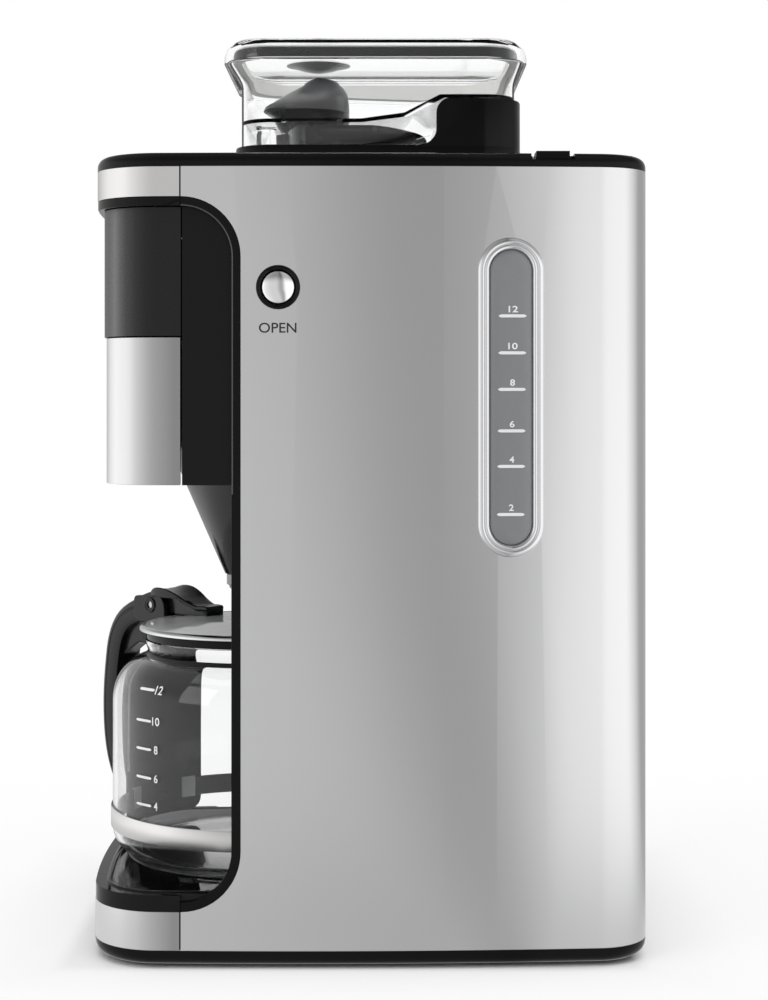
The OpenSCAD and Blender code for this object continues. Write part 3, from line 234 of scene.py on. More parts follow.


# levels set to match how bright the photograph is along these faces
# painted reflection: the door and the lower band steel paler at the front corner, darker towards the rear
graded(DOOR_PAINTED_REFLECTION, (-131, 0.8), (-119, 0.86), (-113, 0.72), (-104, 0.58), (-95, 0.48), (-86, 0.34))
graded(LOWER_BAND_PAINTED_REFLECTION, (-131, 0.86), (-113, 0.84), (-104, 0.76), (-95, 0.58), (-86, 0.4))
# painted highlight: a pale stripe in the control panel's black round its front corner
graded(PANEL_PAINTED_HIGHLIGHT, (-123, 0.004), (-119.5, 0.05), (-116, 0.13), (-113, 0.07), (-110, 0.03), (-105, 0.01),
       (-100, 0.004))

slot_of = {p["node"]: p["material_slot"] for p in frame["record"]["subparts"]}
for name, obj in frame["nodes"].items():
    assign(obj, OWN.get(name, FINISH[slot_of[name]]))
body_of = {n: b for b, members in frame["record"]["behaviour"]["bodies"].items() for n in members}


# ---------- sizes in millimetres, as in the source ----------
BODY_W, FRONT_Y, REAR_Y, BASE_OUT = 205, 130.5, 147.5, 1.1
CORNER_FRONT, CORNER_REAR = 34, 27
SIDE_BOW, SIDE_BOW_Y, FRONT_BOW, REAR_BOW = 2050, -25, 700, 2600
FOOT_H, SKIRT_TOP, SHELL_TOP, CAP_TOP = 1.5, 9.5, 388.8, 395.8
CAP_SOFT, HEM_Z = 5, 7.4
SEAM_Y, AXIS_Y, BURR_Y = -82.4, -52.5, -22
TRIM_Y, TRIM_W, CUT_R = SEAM_Y + 29.2, 4.6, 29.2
DECK_Z, SPOUT_Z = 35.7, 182.6
GLASS_R, NECK_R, COLLAR_R, CARAFE_Z = 76, 56.5, 62, 36.5
SHOULDER_Z, SHOULDER_H, GLASS_TOP = 117.1, 23, 148.5
BAND_Z, BAND_H = 50.7, 10.5
HANDLE_TURN = 40
LID_HINGE_R, LID_HINGE_H, PIN_R = 72, 161.5, 2.0
GAUGE_Y, GAUGE_Z, GAUGE_W, GAUGE_H = REAR_Y - 69.8, 276.8, 32.4, 155
OPEN_Y, OPEN_Z, OPEN_R, RING_R = SEAM_Y + 47.3, 330.1, 8.2, 10.6
PLINTH_TOP, BLOCK_TOP, HOPPER_TOP, FLOOR_Z = 404.5, 428.3, 457, 418.3
RIM_Z = HOPPER_TOP - 10.5
BLOCK_Y = REAR_Y - 113
HOPPER = (-58, BURR_Y - 35), (58, REAR_Y - 64.5)
HOPPER_RIM = (-68, BURR_Y - 41), (68, REAR_Y - 61)
PLINTH = (-62, BURR_Y - 38), (62, REAR_Y - 61.5)
FAR = 200


def span(node):
    """The low and high corner of a CAD node, in millimetres."""
    return [[c / MM for c in corner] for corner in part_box(node)]



# ---------- shapes ----------
def linked(name, data):
    obj = bpy.data.objects.new(name, data)
    bpy.context.collection.objects.link(obj)
    return obj


def soften(mesh, angle=35):
    """Smooth faces, with sharp edges where the faces turn by more than an angle."""
    mesh.shade_smooth()
    mesh.set_sharp_from_angle(angle=math.radians(angle))
    return mesh


def solid(name, verts, faces, weld=0):
    """A mesh from points in millimetres, its faces turned outward."""
    mesh = bpy.data.meshes.new(name)
    mesh.from_pydata([[c * MM for c in v] for v in verts], [], faces)
    shape = bmesh.new()
    shape.from_mesh(mesh)
    if weld:
        bmesh.ops.remove_doubles(shape, verts=shape.verts, dist=weld)
    bmesh.ops.recalc_face_normals(shape, faces=shape.faces)
    shape.to_mesh(mesh)
    shape.free()
    return mesh


def piece(name, verts, faces, body, mat, replaces=(), sharp=35):
    """A mesh in millimetres that rides on a CAD body and may stand for CAD nodes."""
    obj = linked(name, soften(solid(name, verts, faces, weld=1e-6), sharp))
    assign(obj, mat)
    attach(obj, body)
    if replaces:
        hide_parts(*replaces)
    return obj


def bevel(obj, width, segments=3, angle=30):
    mod = obj.modifiers.new("edges", "BEVEL")
    mod.width = width * MM
    mod.segments = segments
    mod.limit_method = "ANGLE"
    mod.angle_limit = math.radians(angle)
    mod.harden_normals = True
    mod.use_clamp_overlap = True
    return obj


def edged(node, width):
    """A CAD node again, with its edges broken as a real moulding or sheet has them."""
    source = frame["nodes"][node]
    shape = bmesh.new()
    shape.from_mesh(source.data)
    bmesh.ops.remove_doubles(shape, verts=shape.verts, dist=2e-6)
    bmesh.ops.dissolve_limit(shape, angle_limit=math.radians(0.4), verts=shape.verts, edges=shape.edges)
    mesh = bpy.data.meshes.new(node + "_edged")
    shape.to_mesh(mesh)
    shape.free()
    obj = linked(node + "_edged", soften(mesh))
    assign(obj, source.data.materials[0])
    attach(obj, body_of[node])
    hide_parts(node)
    return bevel(obj, width, 2)


def cutter(verts, faces):
    """A hidden solid in millimetres for a boolean."""
    return linked("cutter", solid("cutter", verts, faces))


def carve(obj, *cutters, how="DIFFERENCE"):
    """Cuts solids away from an object for good, and clears them up."""
    for c in cutters:
        mod = obj.modifiers.new("cut", "BOOLEAN")
        mod.operation = how
        mod.solver = "EXACT"
        mod.object = c
    bpy.context.view_layer.update()
    shape = obj.evaluated_get(bpy.context.evaluated_depsgraph_get())
    mesh = bpy.data.meshes.new_from_object(shape)
    obj.modifiers.clear()
    obj.data = soften(mesh)
    for c in cutters:
        bpy.data.objects.remove(c)
    return obj


def skin(rings, closed=False):
    """Faces between rings of points, with ends; closed joins the last ring to the first instead."""
    n = len(rings[0])
    verts = [p for ring in rings for p in ring]
    faces = []
    for i in range(len(rings) if closed else len(rings) - 1):
        a, b = i * n, (i + 1) % len(rings) * n
        for j in range(n):
            k = (j + 1) % n
            faces.append((a + j, a + k, b + k, b + j))
    if not closed:
        faces += [tuple(range(n))[::-1], tuple(range(len(verts) - n, len(verts)))]
    return verts, faces


def lathe(profile, centre, steps=144, arc=None):
    """Turns (radius, height) points round an upright axis, all round or over an arc in degrees."""
    start, end = arc or (0, 360)
    rings = []
    for i in range(steps if arc is None else steps + 1):
        t = math.radians(start + (end - start) * i / steps)
        rings.append([(centre[0] + r * math.cos(t), centre[1] + r * math.sin(t), z) for r, z in profile])
    return skin(rings, closed=arc is None)


def circle(r, steps):
    """Points round a circle about the origin."""
    turns = [2 * math.pi * i / steps for i in range(steps)]
    return [(r * math.cos(t), r * math.sin(t)) for t in turns]


def arc_points(c, r, a0, a1, n, ry=None):
    """Points along an arc of a circle, or of an ellipse, from a0 to a1 degrees."""
    ry = r if ry is None else ry
    turns = [math.radians(a0 + (a1 - a0) * i / n) for i in range(n + 1)]
    return [(c[0] + r * math.cos(t), c[1] + ry * math.sin(t)) for t in turns]


def moved(points, du, dv):
    """Points of a profile, all moved by (du, dv)."""
    return [(u + du, v + dv) for u, v in points]


def meet(c1, r1, c2, r2, side):
    """Where two circles cross, on the chosen side."""
    dx, dy = c2[0] - c1[0], c2[1] - c1[1]
    gap = math.hypot(dx, dy)
    along = (gap * gap + r1 * r1 - r2 * r2) / (2 * gap)
    off = math.sqrt(r1 * r1 - along * along)
    ux, uy = dx / gap, dy / gap
    return (c1[0] + along * ux - side * off * uy, c1[1] + along * uy + side * off * ux)


def heading(c, p):
    return math.degrees(math.atan2(p[1] - c[1], p[0] - c[0]))


def across(path, i):
    """The unit vector across a flat path at its point i."""
    (ua, va), (ub, vb) = path[max(i - 1, 0)][:2], path[min(i + 1, len(path) - 1)][:2]
    run = math.hypot(ub - ua, vb - va)
    return (vb - va) / run, -(ub - ua) / run


def plan(inset, out):
    """The body's outline from above, with bowed sides, front and back and round corners. It is drawn in
    by inset, and its front is moved out."""
    side = (BODY_W / 2 - SIDE_BOW, SIDE_BOW_Y)
    front = (0, FRONT_BOW - FRONT_Y - out)
    rear = (0, REAR_Y - REAR_BOW)
    c = meet(side, SIDE_BOW - CORNER_FRONT, front, FRONT_BOW - CORNER_FRONT, -1)
    e = meet(side, SIDE_BOW - CORNER_REAR, rear, REAR_BOW - CORNER_REAR, 1)
    a0, a1, a2, a3 = heading(side, c), heading(side, e), heading(rear, e), heading(front, c)
    half = arc_points(front, FRONT_BOW - inset, -90, a3, 12)
    half += arc_points(c, CORNER_FRONT - inset, a3, a0, 20)[1:]
    half += arc_points(side, SIDE_BOW - inset, a0, a1, 20)[1:]
    half += arc_points(e, CORNER_REAR - inset, a1, a2, 16)[1:]
    half += arc_points(rear, REAR_BOW - inset, a2, 90, 12)[1:]
    return half + [(-x, y) for x, y in half[-2:0:-1]]


def slab(levels, out=0.0, closed=False):
    """The body's outline with an inset that changes with height, [(height, inset), ...]: a solid, or
    a closed ring that follows the outline."""
    return skin([[(x, y, z) for x, y in plan(inset, out)] for z, inset in levels], closed)


def round_rect(lo, hi, r, n):
    corners = (hi[0] - r, lo[1] + r), (hi[0] - r, hi[1] - r), (lo[0] + r, hi[1] - r), (lo[0] + r, lo[1] + r)
    return [p for i, c in enumerate(corners) for p in arc_points(c, r, 90 * i - 90, 90 * i, n)]


def smooth(points, per, closed=True):
    """A curve through points (Catmull-Rom), with per steps between each two."""
    n = len(points)
    result = []
    for i in range(n if closed else n - 1):
        near = [points[(i + k) % n if closed else min(max(i + k, 0), n - 1)] for k in (-1, 0, 1, 2)]
        for t in (s / per for s in range(per)):
            result.append(tuple(0.5 * (2 * b + (c - a) * t + (2 * a - 5 * b + 4 * c - d) * t * t
                                       + (3 * b - a - 3 * c + d) * t ** 3) for a, b, c, d in zip(*near)))
    return result if closed else result + [points[-1]]


def box(lo, hi):
    corners = (lo[0], lo[1]), (hi[0], lo[1]), (hi[0], hi[1]), (lo[0], hi[1])
    return skin([[(x, y, z) for x, y in corners] for z in (lo[2], hi[2])])


def pillar(centre, r, z0, z1):
    return skin([[(centre[0] + u, centre[1] + v, z) for u, v in circle(r, 96)] for z in (z0, z1)])


def along_x(outline):
    """A (Y, Z) outline carried across the whole width, for a cut."""
    return skin([[(x, y, z) for y, z in outline] for x in (-FAR, FAR)])


def side_x(y):
    """Where the right side panel is at a depth y."""
    return BODY_W / 2 - SIDE_BOW + math.sqrt(SIDE_BOW ** 2 - (y - SIDE_BOW_Y) ** 2)


# how far the underside and the top of a print stand off its surface
PRINT_LOW, PRINT_HIGH = 0.02, 0.12


def lettering(name, text, place, size, centre, body, mat, bold):
    """Text as thin geometry. It is fitted to size (width, height) round a centre, and place carries
    its flat (u, v) and height to the surface."""
    curve = bpy.data.curves.new(name, "FONT")
    curve.body = text
    # any thickness will do: it parts the two sides, and place sets them at their real height
    curve.extrude = 0.00005
    curve.offset = bold
    curve.resolution_u = 6
    flat = linked(name, curve)
    bpy.context.view_layer.update()
    mesh = bpy.data.meshes.new_from_object(flat.evaluated_get(bpy.context.evaluated_depsgraph_get()))
    bpy.data.objects.remove(flat)
    us, vs = [v.co.x for v in mesh.vertices], [v.co.y for v in mesh.vertices]
    su, sv = size[0] / (max(us) - min(us)), size[1] / (max(vs) - min(vs))
    mid_u, mid_v = (max(us) + min(us)) / 2, (max(vs) + min(vs)) / 2
    verts = [place(centre[0] + (v.co.x - mid_u) * su, centre[1] + (v.co.y - mid_v) * sv,
                   PRINT_HIGH if v.co.z > 0 else PRINT_LOW) for v in mesh.vertices]
    faces = [tuple(f.vertices) for f in mesh.polygons]
    bpy.data.meshes.remove(mesh)
    return piece(name, verts, faces, body, mat)


def dash(name, place, size, centre, body):
    """A printed line with round ends."""
    w, h = size[0] / 2, size[1] / 2
    us = [-w + 2 * w * i / 12 for i in range(13)]
    verts, faces = [], []
    for lift in (PRINT_LOW, PRINT_HIGH):
        for u in us:
            reach = h * math.sqrt(max(0.12, 1 - max(0, (abs(u) - (w - h)) / h) ** 2))
            verts += [place(centre[0] + u, centre[1] + way * reach, lift) for way in (-1, 1)]
    n = len(us) * 2
    for a in range(0, n - 2, 2):
        faces += [(a, a + 1, a + 3, a + 2), (n + a, n + a + 2, n + a + 3, n + a + 1),
                  (a, a + 2, n + a + 2, n + a), (a + 1, n + a + 1, n + a + 3, a + 3)]
    faces += [(0, n, n + 1, 1), (n - 2, n - 1, 2 * n - 1, 2 * n - 2)]
    return piece(name, verts, faces, body, PRINT)


# ---------- body ----------
def skirt_and_cap():
    foot = [(0, 6), (0.35, 4), (1.2, 2.3), (2.6, 1), (4.2, 0.3), (6, 0)]
    levels = moved(foot, FOOT_H, 0) + [(SKIRT_TOP - 0.4, 0), (SKIRT_TOP, 0.4)]
    piece("skirt", *slab(levels, BASE_OUT), "housing", GLOSS, ["base_pan"])
    edge = arc_points((0, CAP_TOP - CAP_SOFT), CAP_SOFT, 0, 90, 9)
    steps = [(z, CAP_SOFT - u) for u, z in edge]
    cap = piece("cap", *slab([(SHELL_TOP, 0.3), (SHELL_TOP + 0.3, 0)] + steps), "housing", GLOSS, ["top_cap"])
    (_, y0, _), (_, y1, _) = span("tank_lid")
    seat_z, hinge_z, below, above = 392.4, 390.4, 380, 400
    # seat of the tank lid, room at its hinge, mouth of the tank, recess for the tab, drop for the beans
    carve(cap,
          cutter(*box((-81, y0 - 0.5, seat_z), (84.5, y1 + 0.5, above))),
          cutter(*box((-86.4, y0 - 0.5, hinge_z), (-78, y1 + 0.5, above))),
          cutter(*box((-74, y0 + 4, below), (79, y1 - 4, 394))),
          cutter(*box((83, y0 - 2.2, seat_z), (108, y0 + 19, above))),
          cutter(*pillar((0, BURR_Y), 30, below, above)))
    edged("tank_lid", 0.5)


def seams():
    """Dark gap between the front bands and the wrap, on both sides."""
    x = side_x(SEAM_Y)
    for node in ("front_band_upper", "front_band_lower"):
        (_, _, z0), (_, _, z1) = span(node)
        for way in (-1, 1):
            near, far = sorted((way * (x - 1.2), way * (x + 0.04)))
            gap = box((near, SEAM_Y - 0.62, z0 + 0.1), (far, SEAM_Y + 0.12, z1 - 0.1))
            piece(f"seam_{node}_{way + 1}", *gap, "housing", SATIN)


def trim_beads():
    """Raised bead along the inner edge of the side trims, in a paler grey that is a painted highlight line.
    """
    _, (x0, _, high) = span("side_trim_right")
    d = TRIM_W - 0.5
    path = [(SEAM_Y + 0.3, high - d)]
    path += arc_points((TRIM_Y - CUT_R, high - CUT_R), CUT_R - d, 90, 0, 24)
    path += [(TRIM_Y - d, span("head_frame")[0][2] + 1)]
    bead = ((-0.35, -0.1), (-0.3, 0.18), (0, 0.3), (0.3, 0.18), (0.35, -0.1))
    for way in (-1, 1):
        rings = []
        for i, (y, z) in enumerate(path):
            ny, nz = across(path, i)
            rings.append([(way * (x0 + h), y + ny * t, z + nz * t) for t, h in bead])
        piece(f"trim_bead_{way + 1}", *skin(rings), "housing", BEAD_PAINTED_HIGHLIGHT)


def hems():
    """Rolled hem of the steel over the skirt."""
    hem = [(HEM_Z + 0.2, 1.4), (HEM_Z, 0.5), (HEM_Z + 0.2, 0.15), (HEM_Z + 0.6, 0.03),
           (SKIRT_TOP + 0.3, 0.03), (SKIRT_TOP + 0.3, 1.4)]
    for name, out, mat, y0, y1 in (("wrap_hem", 0, STEEL, SEAM_Y, 160),
                                   ("band_hem", BASE_OUT, LOWER_BAND_PAINTED_REFLECTION, -140, SEAM_Y)):
        obj = piece(name, *slab(hem, out, closed=True), "housing", mat)
        carve(obj, cutter(*box((-110, y0, 0), (110, y1, 20))), how="INTERSECT")


def deck_rim():
    """Raised rim round the front of the deck."""
    rim = [(-0.5, 5.4), (0.3, 5.6), (0.75, 6.3), (0.8, 7.2), (0.5, 8.0), (-0.5, 8.6)]
    obj = piece("deck_rim", *slab(moved(rim, DECK_Z, 0), BASE_OUT, closed=True), "housing", DECK)
    carve(obj, cutter(*box((-96, -140, 20), (96, -58, 60))), how="INTERSECT")


def gauge():
    """Bright frame with a stepped round section, its window and the white level marks."""
    tilt = math.asin((GAUGE_Y - SIDE_BOW_Y) / SIDE_BOW)
    x0 = side_x(GAUGE_Y)

    def place(u, v, lift):
        return (x0 + lift * math.cos(tilt) - u * math.sin(tilt),
                GAUGE_Y + u * math.cos(tilt) + lift * math.sin(tilt), v)

    def stadium(inset, lift):
        w, run = GAUGE_W / 2 - inset, (GAUGE_H - GAUGE_W) / 2
        outline = arc_points((0, run), w, 0, 180, 30) + arc_points((0, -run), w, 180, 360, 30)
        return [place(u, GAUGE_Z + v, lift) for u, v in outline]

    # both sections as (inset, lift) from the outer edge
    rim = [(0, -0.4), (0, 0.3), (0.25, 0.95), (0.9, 1.6), (1.8, 2.0), (2.6, 2.05), (3.0, 1.8),
           (3.15, 1.45), (3.4, 1.45), (3.6, 1.75), (4.3, 1.95), (5.0, 1.7), (5.5, 1.1), (5.8, 0.3),
           (6.3, -0.5), (5.6, -0.9), (1.5, -0.9)]
    face = 0.64
    pane = [(6.1, -0.9), (6.1, 0.1), (6.6, 0.35), (8.0, 0.55), (9.5, 0.62), (12, face), (15.5, face)]
    piece("gauge_rim", *skin([stadium(*row) for row in rim], closed=True), "housing", RIM,
          ["gauge_frame"], 50)
    piece("gauge_pane", *skin([stadium(*row) for row in pane]), "housing", WINDOW, ["gauge_window"])

    def on_pane(u, v, lift):
        return place(u, v, 0.62 + lift)

    first = 316.3
    for cups, z in ((12, first), (10, 298.4), (8, 280.7), (6, 260.6), (4, 243.4), (2, 220.1)):
        # the marks stand in a row that leans a little
        mid = 0.7 - (first - z) * 0.01
        dash(f"level_line_{cups}", on_pane, (13.4, 1.5), (mid, z), "housing")
        width = 4.6 if cups > 9 else 2.4
        lettering(f"level_{cups}", str(cups), on_pane, (width, 3.2), (mid + 0.3, z + 3.3),
                  "housing", PRINT, 0.02)


def open_control():
    """Black ring, chrome dome and the word under it."""
    def rings(profile):
        """Turns (radius, x) points round the button's own axis."""
        return [[(x, OPEN_Y + u, OPEN_Z + v) for u, v in circle(r, 96)] for r, x in profile]

    x0 = side_x(OPEN_Y)
    ring = [(RING_R - 0.9, -4), (RING_R - 0.9, -0.1), (RING_R, 0.0), (RING_R + 0.1, 0.5),
            (RING_R - 0.3, 1.0), (RING_R - 0.9, 1.15), (OPEN_R + 1.0, 0.95), (OPEN_R + 0.35, 0.4),
            (OPEN_R + 0.3, -4)]
    piece("open_ring", *skin(rings(moved(ring, 0, x0)), closed=True), "housing", GLOSS,
          ["open_button_ring"])
    low = span("open_button")[0][0]
    seat_x, edge_x, dome_h = 98.8, 102.1, 2.6
    dome = [(0.01, low), (3, low), (3, seat_x), (OPEN_R - 0.2, seat_x), (OPEN_R, seat_x + 0.4)]
    dome += arc_points((0, edge_x), OPEN_R, 0, 87, 29, dome_h) + [(0.01, edge_x + dome_h)]
    piece("open_dome", *skin(rings(dome)), "open_button", CHROME, ["open_button"])
    lettering("open_word", "OPEN", lambda u, v, lift: (x0 + lift - 0.01, u, v), (18.2, 4.9),
              (OPEN_Y - 0.2, 310.5), "housing", DARK_PRINT, 0.008)


# ---------- carafe ----------
AXIS = (0, AXIS_Y)
HANDLE_AT = -90 - HANDLE_TURN
NECK_STRAP_Z = 139.9


def glass_profile(d):
    """Half outline of the glass, drawn in by d."""
    side = arc_points((GLASS_R - 14, CARAFE_Z + 14), 14 - d, -90, 0, 12)
    shoulder = arc_points((NECK_R - d, SHOULDER_Z), GLASS_R - NECK_R, 0, 80, 16, SHOULDER_H + d / 4)
    neck_z = SHOULDER_Z + SHOULDER_H
    neck = [(0, neck_z), (0.5, neck_z + 1.5), (2, GLASS_TOP - 2.5), (2.5, GLASS_TOP - 0.8), (2.3, GLASS_TOP)]
    return side + shoulder + moved(neck, NECK_R - d, 0)


def turn(rho, side, z):
    """A point of the handle's own frame: rho out from the carafe's axis, side across."""
    a = math.radians(HANDLE_AT)
    return (rho * math.cos(a) - side * math.sin(a), AXIS_Y + rho * math.sin(a) + side * math.cos(a), z)


def on_glass(u, v, lift):
    """A point on the side of the glass that faces right: u round it, v its height."""
    r = GLASS_R
    if v > SHOULDER_Z:
        r = NECK_R + (GLASS_R - NECK_R) * math.sqrt(1 - ((v - SHOULDER_Z) / SHOULDER_H) ** 2)
    a = u / GLASS_R
    return ((r + lift) * math.cos(a), AXIS_Y + (r + lift) * math.sin(a), v)


def carafe():
    outer, inner = glass_profile(0), glass_profile(2.2)
    profile = [(0.01, CARAFE_Z + 1.2), (GLASS_R - 24, CARAFE_Z + 0.8), (GLASS_R - 17, CARAFE_Z)] + outer[1:]
    profile += inner[:0:-1] + [(GLASS_R - 20, CARAFE_Z + 3.0), (0.01, CARAFE_Z + 3.4)]
    piece("glass_jug", *lathe(profile, AXIS, 160), "carafe", GLASS, ["carafe_glass"])

    top = BAND_H
    strap = [(0.1, 0), (0.75, 0), (0.95, 0.3), (0.95, top - 0.3), (0.75, top), (0.1, top)]
    clip = [(0.06, -0.5), (1.1, -0.5), (1.3, 0), (1.3, top), (1.1, top + 0.5), (0.06, top + 0.5)]
    # the strap stops short of the handle on both sides, by an angle
    gap = 13
    piece("strap", *lathe(moved(strap, GLASS_R, BAND_Z), AXIS, 150,
                          (HANDLE_AT + gap, HANDLE_AT + 360 - gap)), "carafe", BAND, ["carafe_band"])
    for i, a in enumerate((HANDLE_AT + 15.6, HANDLE_AT - 15.6)):
        piece(f"strap_clip_{i}", *lathe(moved(clip, GLASS_R, BAND_Z), AXIS, 8, (a - 3.1, a + 3.1)),
              "carafe", PALE)

    ring = [(0.2, 0), (1.3, 0), (1.6, 0.3), (1.6, 1.7), (1.3, 2), (0.2, 2)]
    piece("neck_strap", *lathe(moved(ring, NECK_R, NECK_STRAP_Z), AXIS), "carafe", SATIN,
          ["carafe_collar"])
    grip()
    hinge_cheeks()
    bracket_and_plate()
    lid()
    for cups, z in ((12, 128.2), (10, 112.7), (8, 98.3), (6, 83.8), (4, 69.9)):
        dash(f"cup_line_{cups}", on_glass, (12.0, 1.3), (-59.5, z), "carafe")
        width = 5.0 if cups > 9 else 2.5
        lettering(f"cup_{cups}", str(cups), on_glass, (width, 4.2), (-50.3, z + 0.2),
                  "carafe", PRINT, 0.01)


def pin_bore(r):
    """A cut across the handle for the pin of the lid's hinge."""
    return cutter(*skin([[turn(LID_HINGE_R + u, side, LID_HINGE_H + v) for u, v in circle(r, 24)]
                         for side in (-20, 20)]))


def grip():
    """Swept grip with a groove along each side, cut out for the lever, and its web to the neck."""
    # centre line as (rho, height, half the thickness)
    path = smooth([(65, 156.5, 6.2), (74, 157.6, 6.6), (84, 157.2, 6.7), (93, 153.2, 6.5), (99.2, 147, 6.2),
                   (103.2, 138, 6), (105.4, 126, 5.8), (106.8, 112, 5.8), (107, 98, 5.8), (105.9, 84, 5.7),
                   (103, 72, 5.6), (98, 62.5, 5.5), (90.5, 57.5, 5.5), (83, 56.5, 5.8), (77.6, 57, 6.4)],
                  6, False)
    # cross-section as (share of the half thickness, distance across the width)
    cut = [(-1, 0), (-1, 6.2), (-0.86, 8.2), (-0.6, 9.1), (-0.1, 9.5), (0.24, 9.5), (0.3, 9.1),
           (0.38, 9.1), (0.44, 9.5), (0.64, 9.3), (0.88, 8.2), (1, 6.2), (1, 0)]
    cut += [(t, -w) for t, w in cut[-2:0:-1]]
    rings = []
    for i, (rho, z, half) in enumerate(path):
        nr, nz = across(path, i)
        rings.append([turn(rho - nr * t * half, w, z - nz * t * half) for t, w in cut])
    obj = piece("grip", *skin(rings), "carafe", HANDLE, ["carafe_handle"], 28)
    cuts = []
    # a slot for the lever's stem and, above it, room for its wide head
    for low, reach, half in ((149.5, 79, 6.4), (161.4, 78, 12.6)):
        corners = (30, -half), (reach, -half), (reach, half), (30, half)
        cuts.append(cutter(*skin([[turn(r, s, z) for r, s in corners] for z in (low, 190)])))
    carve(obj, *cuts)
    web = smooth([(66, 154), (84, 154), (97, 146), (101.5, 136), (99.5, 131), (93, 135), (86, 139),
                  (80, 138.4), (72, 139.8), (66, 141)], 5)
    bevel(piece("grip_web", *skin([[turn(r, s, z) for r, z in web] for s in (-5, 5)]), "carafe", HANDLE),
          1.2, 3, 40)


def hinge_cheeks():
    """Cheeks on both sides of the lever, each with a boss round the pin."""
    shield = smooth([(61.8, 150), (60.6, 156), (61.6, 163.6), (66, 168), (72, 168.6), (79, 166.4),
                     (84.5, 165.4), (85.5, 160), (84, 154), (77, 150.6), (69, 147.4), (64, 146.8)], 5)
    boss = [(2.05, 0), (4.2, 0), (4.4, 0.3), (4.1, 0.8), (3.3, 0.9), (2.9, 0.5), (2.05, 0.5)]
    inner, outer = 6.5, 9.9
    for way in (-1, 1):
        rings = [[turn(r, way * s, z) for r, z in shield] for s in (inner, outer)]
        cheek = piece(f"hinge_cheek_{way + 1}", *skin(rings), "carafe", HANDLE)
        carve(cheek, pin_bore(PIN_R))
        bevel(cheek, 0.7, 3, 40)
        rings = [[turn(LID_HINGE_R + u, way * (outer + h), LID_HINGE_H + v) for u, v in circle(r, 48)]
                 for r, h in boss]
        piece(f"pin_boss_{way + 1}", *skin(rings, closed=True), "carafe", HANDLE)


def bracket_and_plate():
    """The bracket at the neck and the plate that lies against the glass."""
    profile = [(NECK_R + 1.4, NECK_STRAP_Z), (70, NECK_STRAP_Z), (78, 142), (80, 152), (COLLAR_R + 3.5, 152),
               (COLLAR_R + 3.2, 147), (NECK_R + 4, 143), (NECK_R + 1.4, 142.4)]
    bracket = lathe(profile, AXIS, 10, (HANDLE_AT - 8, HANDLE_AT + 8))
    bevel(piece("bracket", *bracket, "carafe", HANDLE), 0.6)
    # the plate as (height, radius, how far its foot is rounded off in degrees)
    flat = 78.9
    rows = [(z, flat, soft) for z, soft in ((42, 6.5), (42.4, 4.4), (43.4, 2.4), (45, 1.1), (47.2, 0.3))]
    rows += [(z, flat, 0) for z in (50, 60, 90, 116)]
    rows += [(122, 78.3, 0), (128, 76, 0), (133, 72.4, 0), (137, 67.5, 0), (140, 62.5, 0), (142, 60.5, 0)]
    rings = []
    for z, r, soft in rows:
        half = 22 - 0.35 * max(0, z - 118) - soft
        a, b = HANDLE_AT - half, HANDLE_AT + half
        outline = arc_points(AXIS, r + 1.5, a, b, 16) + arc_points(AXIS, r - 1.5, b, a, 16)
        rings.append([(x, y, z) for x, y in outline])
    bevel(piece("back_plate", *skin(rings), "carafe", SATIN), 0.5)


def lid():
    """Low pale dome in a dark ring with a bright lip, the cup under it and the thumb lever."""
    def turned(name, profile, mat, replaces=(), steps=144):
        return piece(name, *lathe(moved(profile, 0, GLASS_TOP + 0.3), AXIS, steps), "carafe_lid", mat,
                     replaces)

    turned("lid_ring", [(54, 0), (57.6, 0), (58.3, 0.3), (58.6, 1), (58.6, 4), (58.3, 4.4), (54, 4.4)], GLOSS)
    upper = [(55, 4.5), (59, 4.5), (59, 7.1), (56, 7.4), (48, 8), (38, 8.6), (28, 9), (18, 9.2), (13, 9),
             (10.4, 8.2), (9.8, 7.2)]
    under = [(10.4, 6.6), (18, 7.4), (30, 7.2), (42, 6.6), (52, 5.9)]
    turned("lid_dome", upper + under, PALE, ["carafe_lid"])
    turned("lid_lip", [(59.2, 4.45), (61.3, 4.45), (62, 4.9), (62.1, 5.6), (61.7, 6.5), (60.8, 7.1),
                       (59.2, 7.3)], RIM)
    turned("brew_cup", [(31, 6.9), (22, 7), (14, 6.2), (9, 4), (7, 0.6), (8.6, 0.6), (11, 3.4), (16, 5.2),
                        (24, 6), (31, 6.1)], GLOSS, steps=96)
    # thumb lever: (rho, underside, upper side, half width below, half width above)
    spans = [(31, 157.4, 162.4, 6.0, 6.2), (31.3, 157.0, 162.8, 6.5, 6.8), (35, 157.0, 163.0, 6.6, 7.2),
             (39, 157.0, 163.1, 6.6, 7.8), (45.7, 157.0, 165.6, 6.4, 9.2), (52, 157.0, 168.8, 6.2, 10.4),
             (58, 157.0, 170.9, 5.9, 11.2), (64, 157.0, 171.6, 5.8, 11.4), (69, 157.2, 170.9, 5.8, 10.8),
             (73, 158.0, 168.4, 5.8, 8.9), (75.3, 159.6, 165.4, 5.2, 6.6), (75.9, 161.3, 163.4, 4, 4.6)]
    rings = []
    for rho, low, high, below, above in smooth(spans, 4, False):
        # mid is where the wide head starts, dish the hollow for the thumb
        mid = max(low + 0.5 * (high - low), min(high - 1.2, 166.2 if rho > 50 else high - 2.4))
        dish = 1.6 * max(0.1, math.sin(math.pi * min(1, max(0, (rho - 44) / 31))))
        half = [(0, low), (below * 0.8, low), (below, low + 0.8), (below, mid - 0.6),
                (min(above, below + 0.8), mid), (above - 0.5, mid + 0.1), (above, mid + 0.7),
                (above - 0.2, high - 0.5), (above - 0.9, high), (above * 0.6, high - dish * 0.6),
                (0, high - dish)]
        rings.append([turn(rho, s, z) for s, z in half] + [turn(rho, -s, z) for s, z in half[-2:0:-1]])
    lever = piece("thumb_lever", *skin(rings), "carafe_lid", HANDLE, ["lid_lever"], 50)
    carve(lever, pin_bore(PIN_R + 0.1))


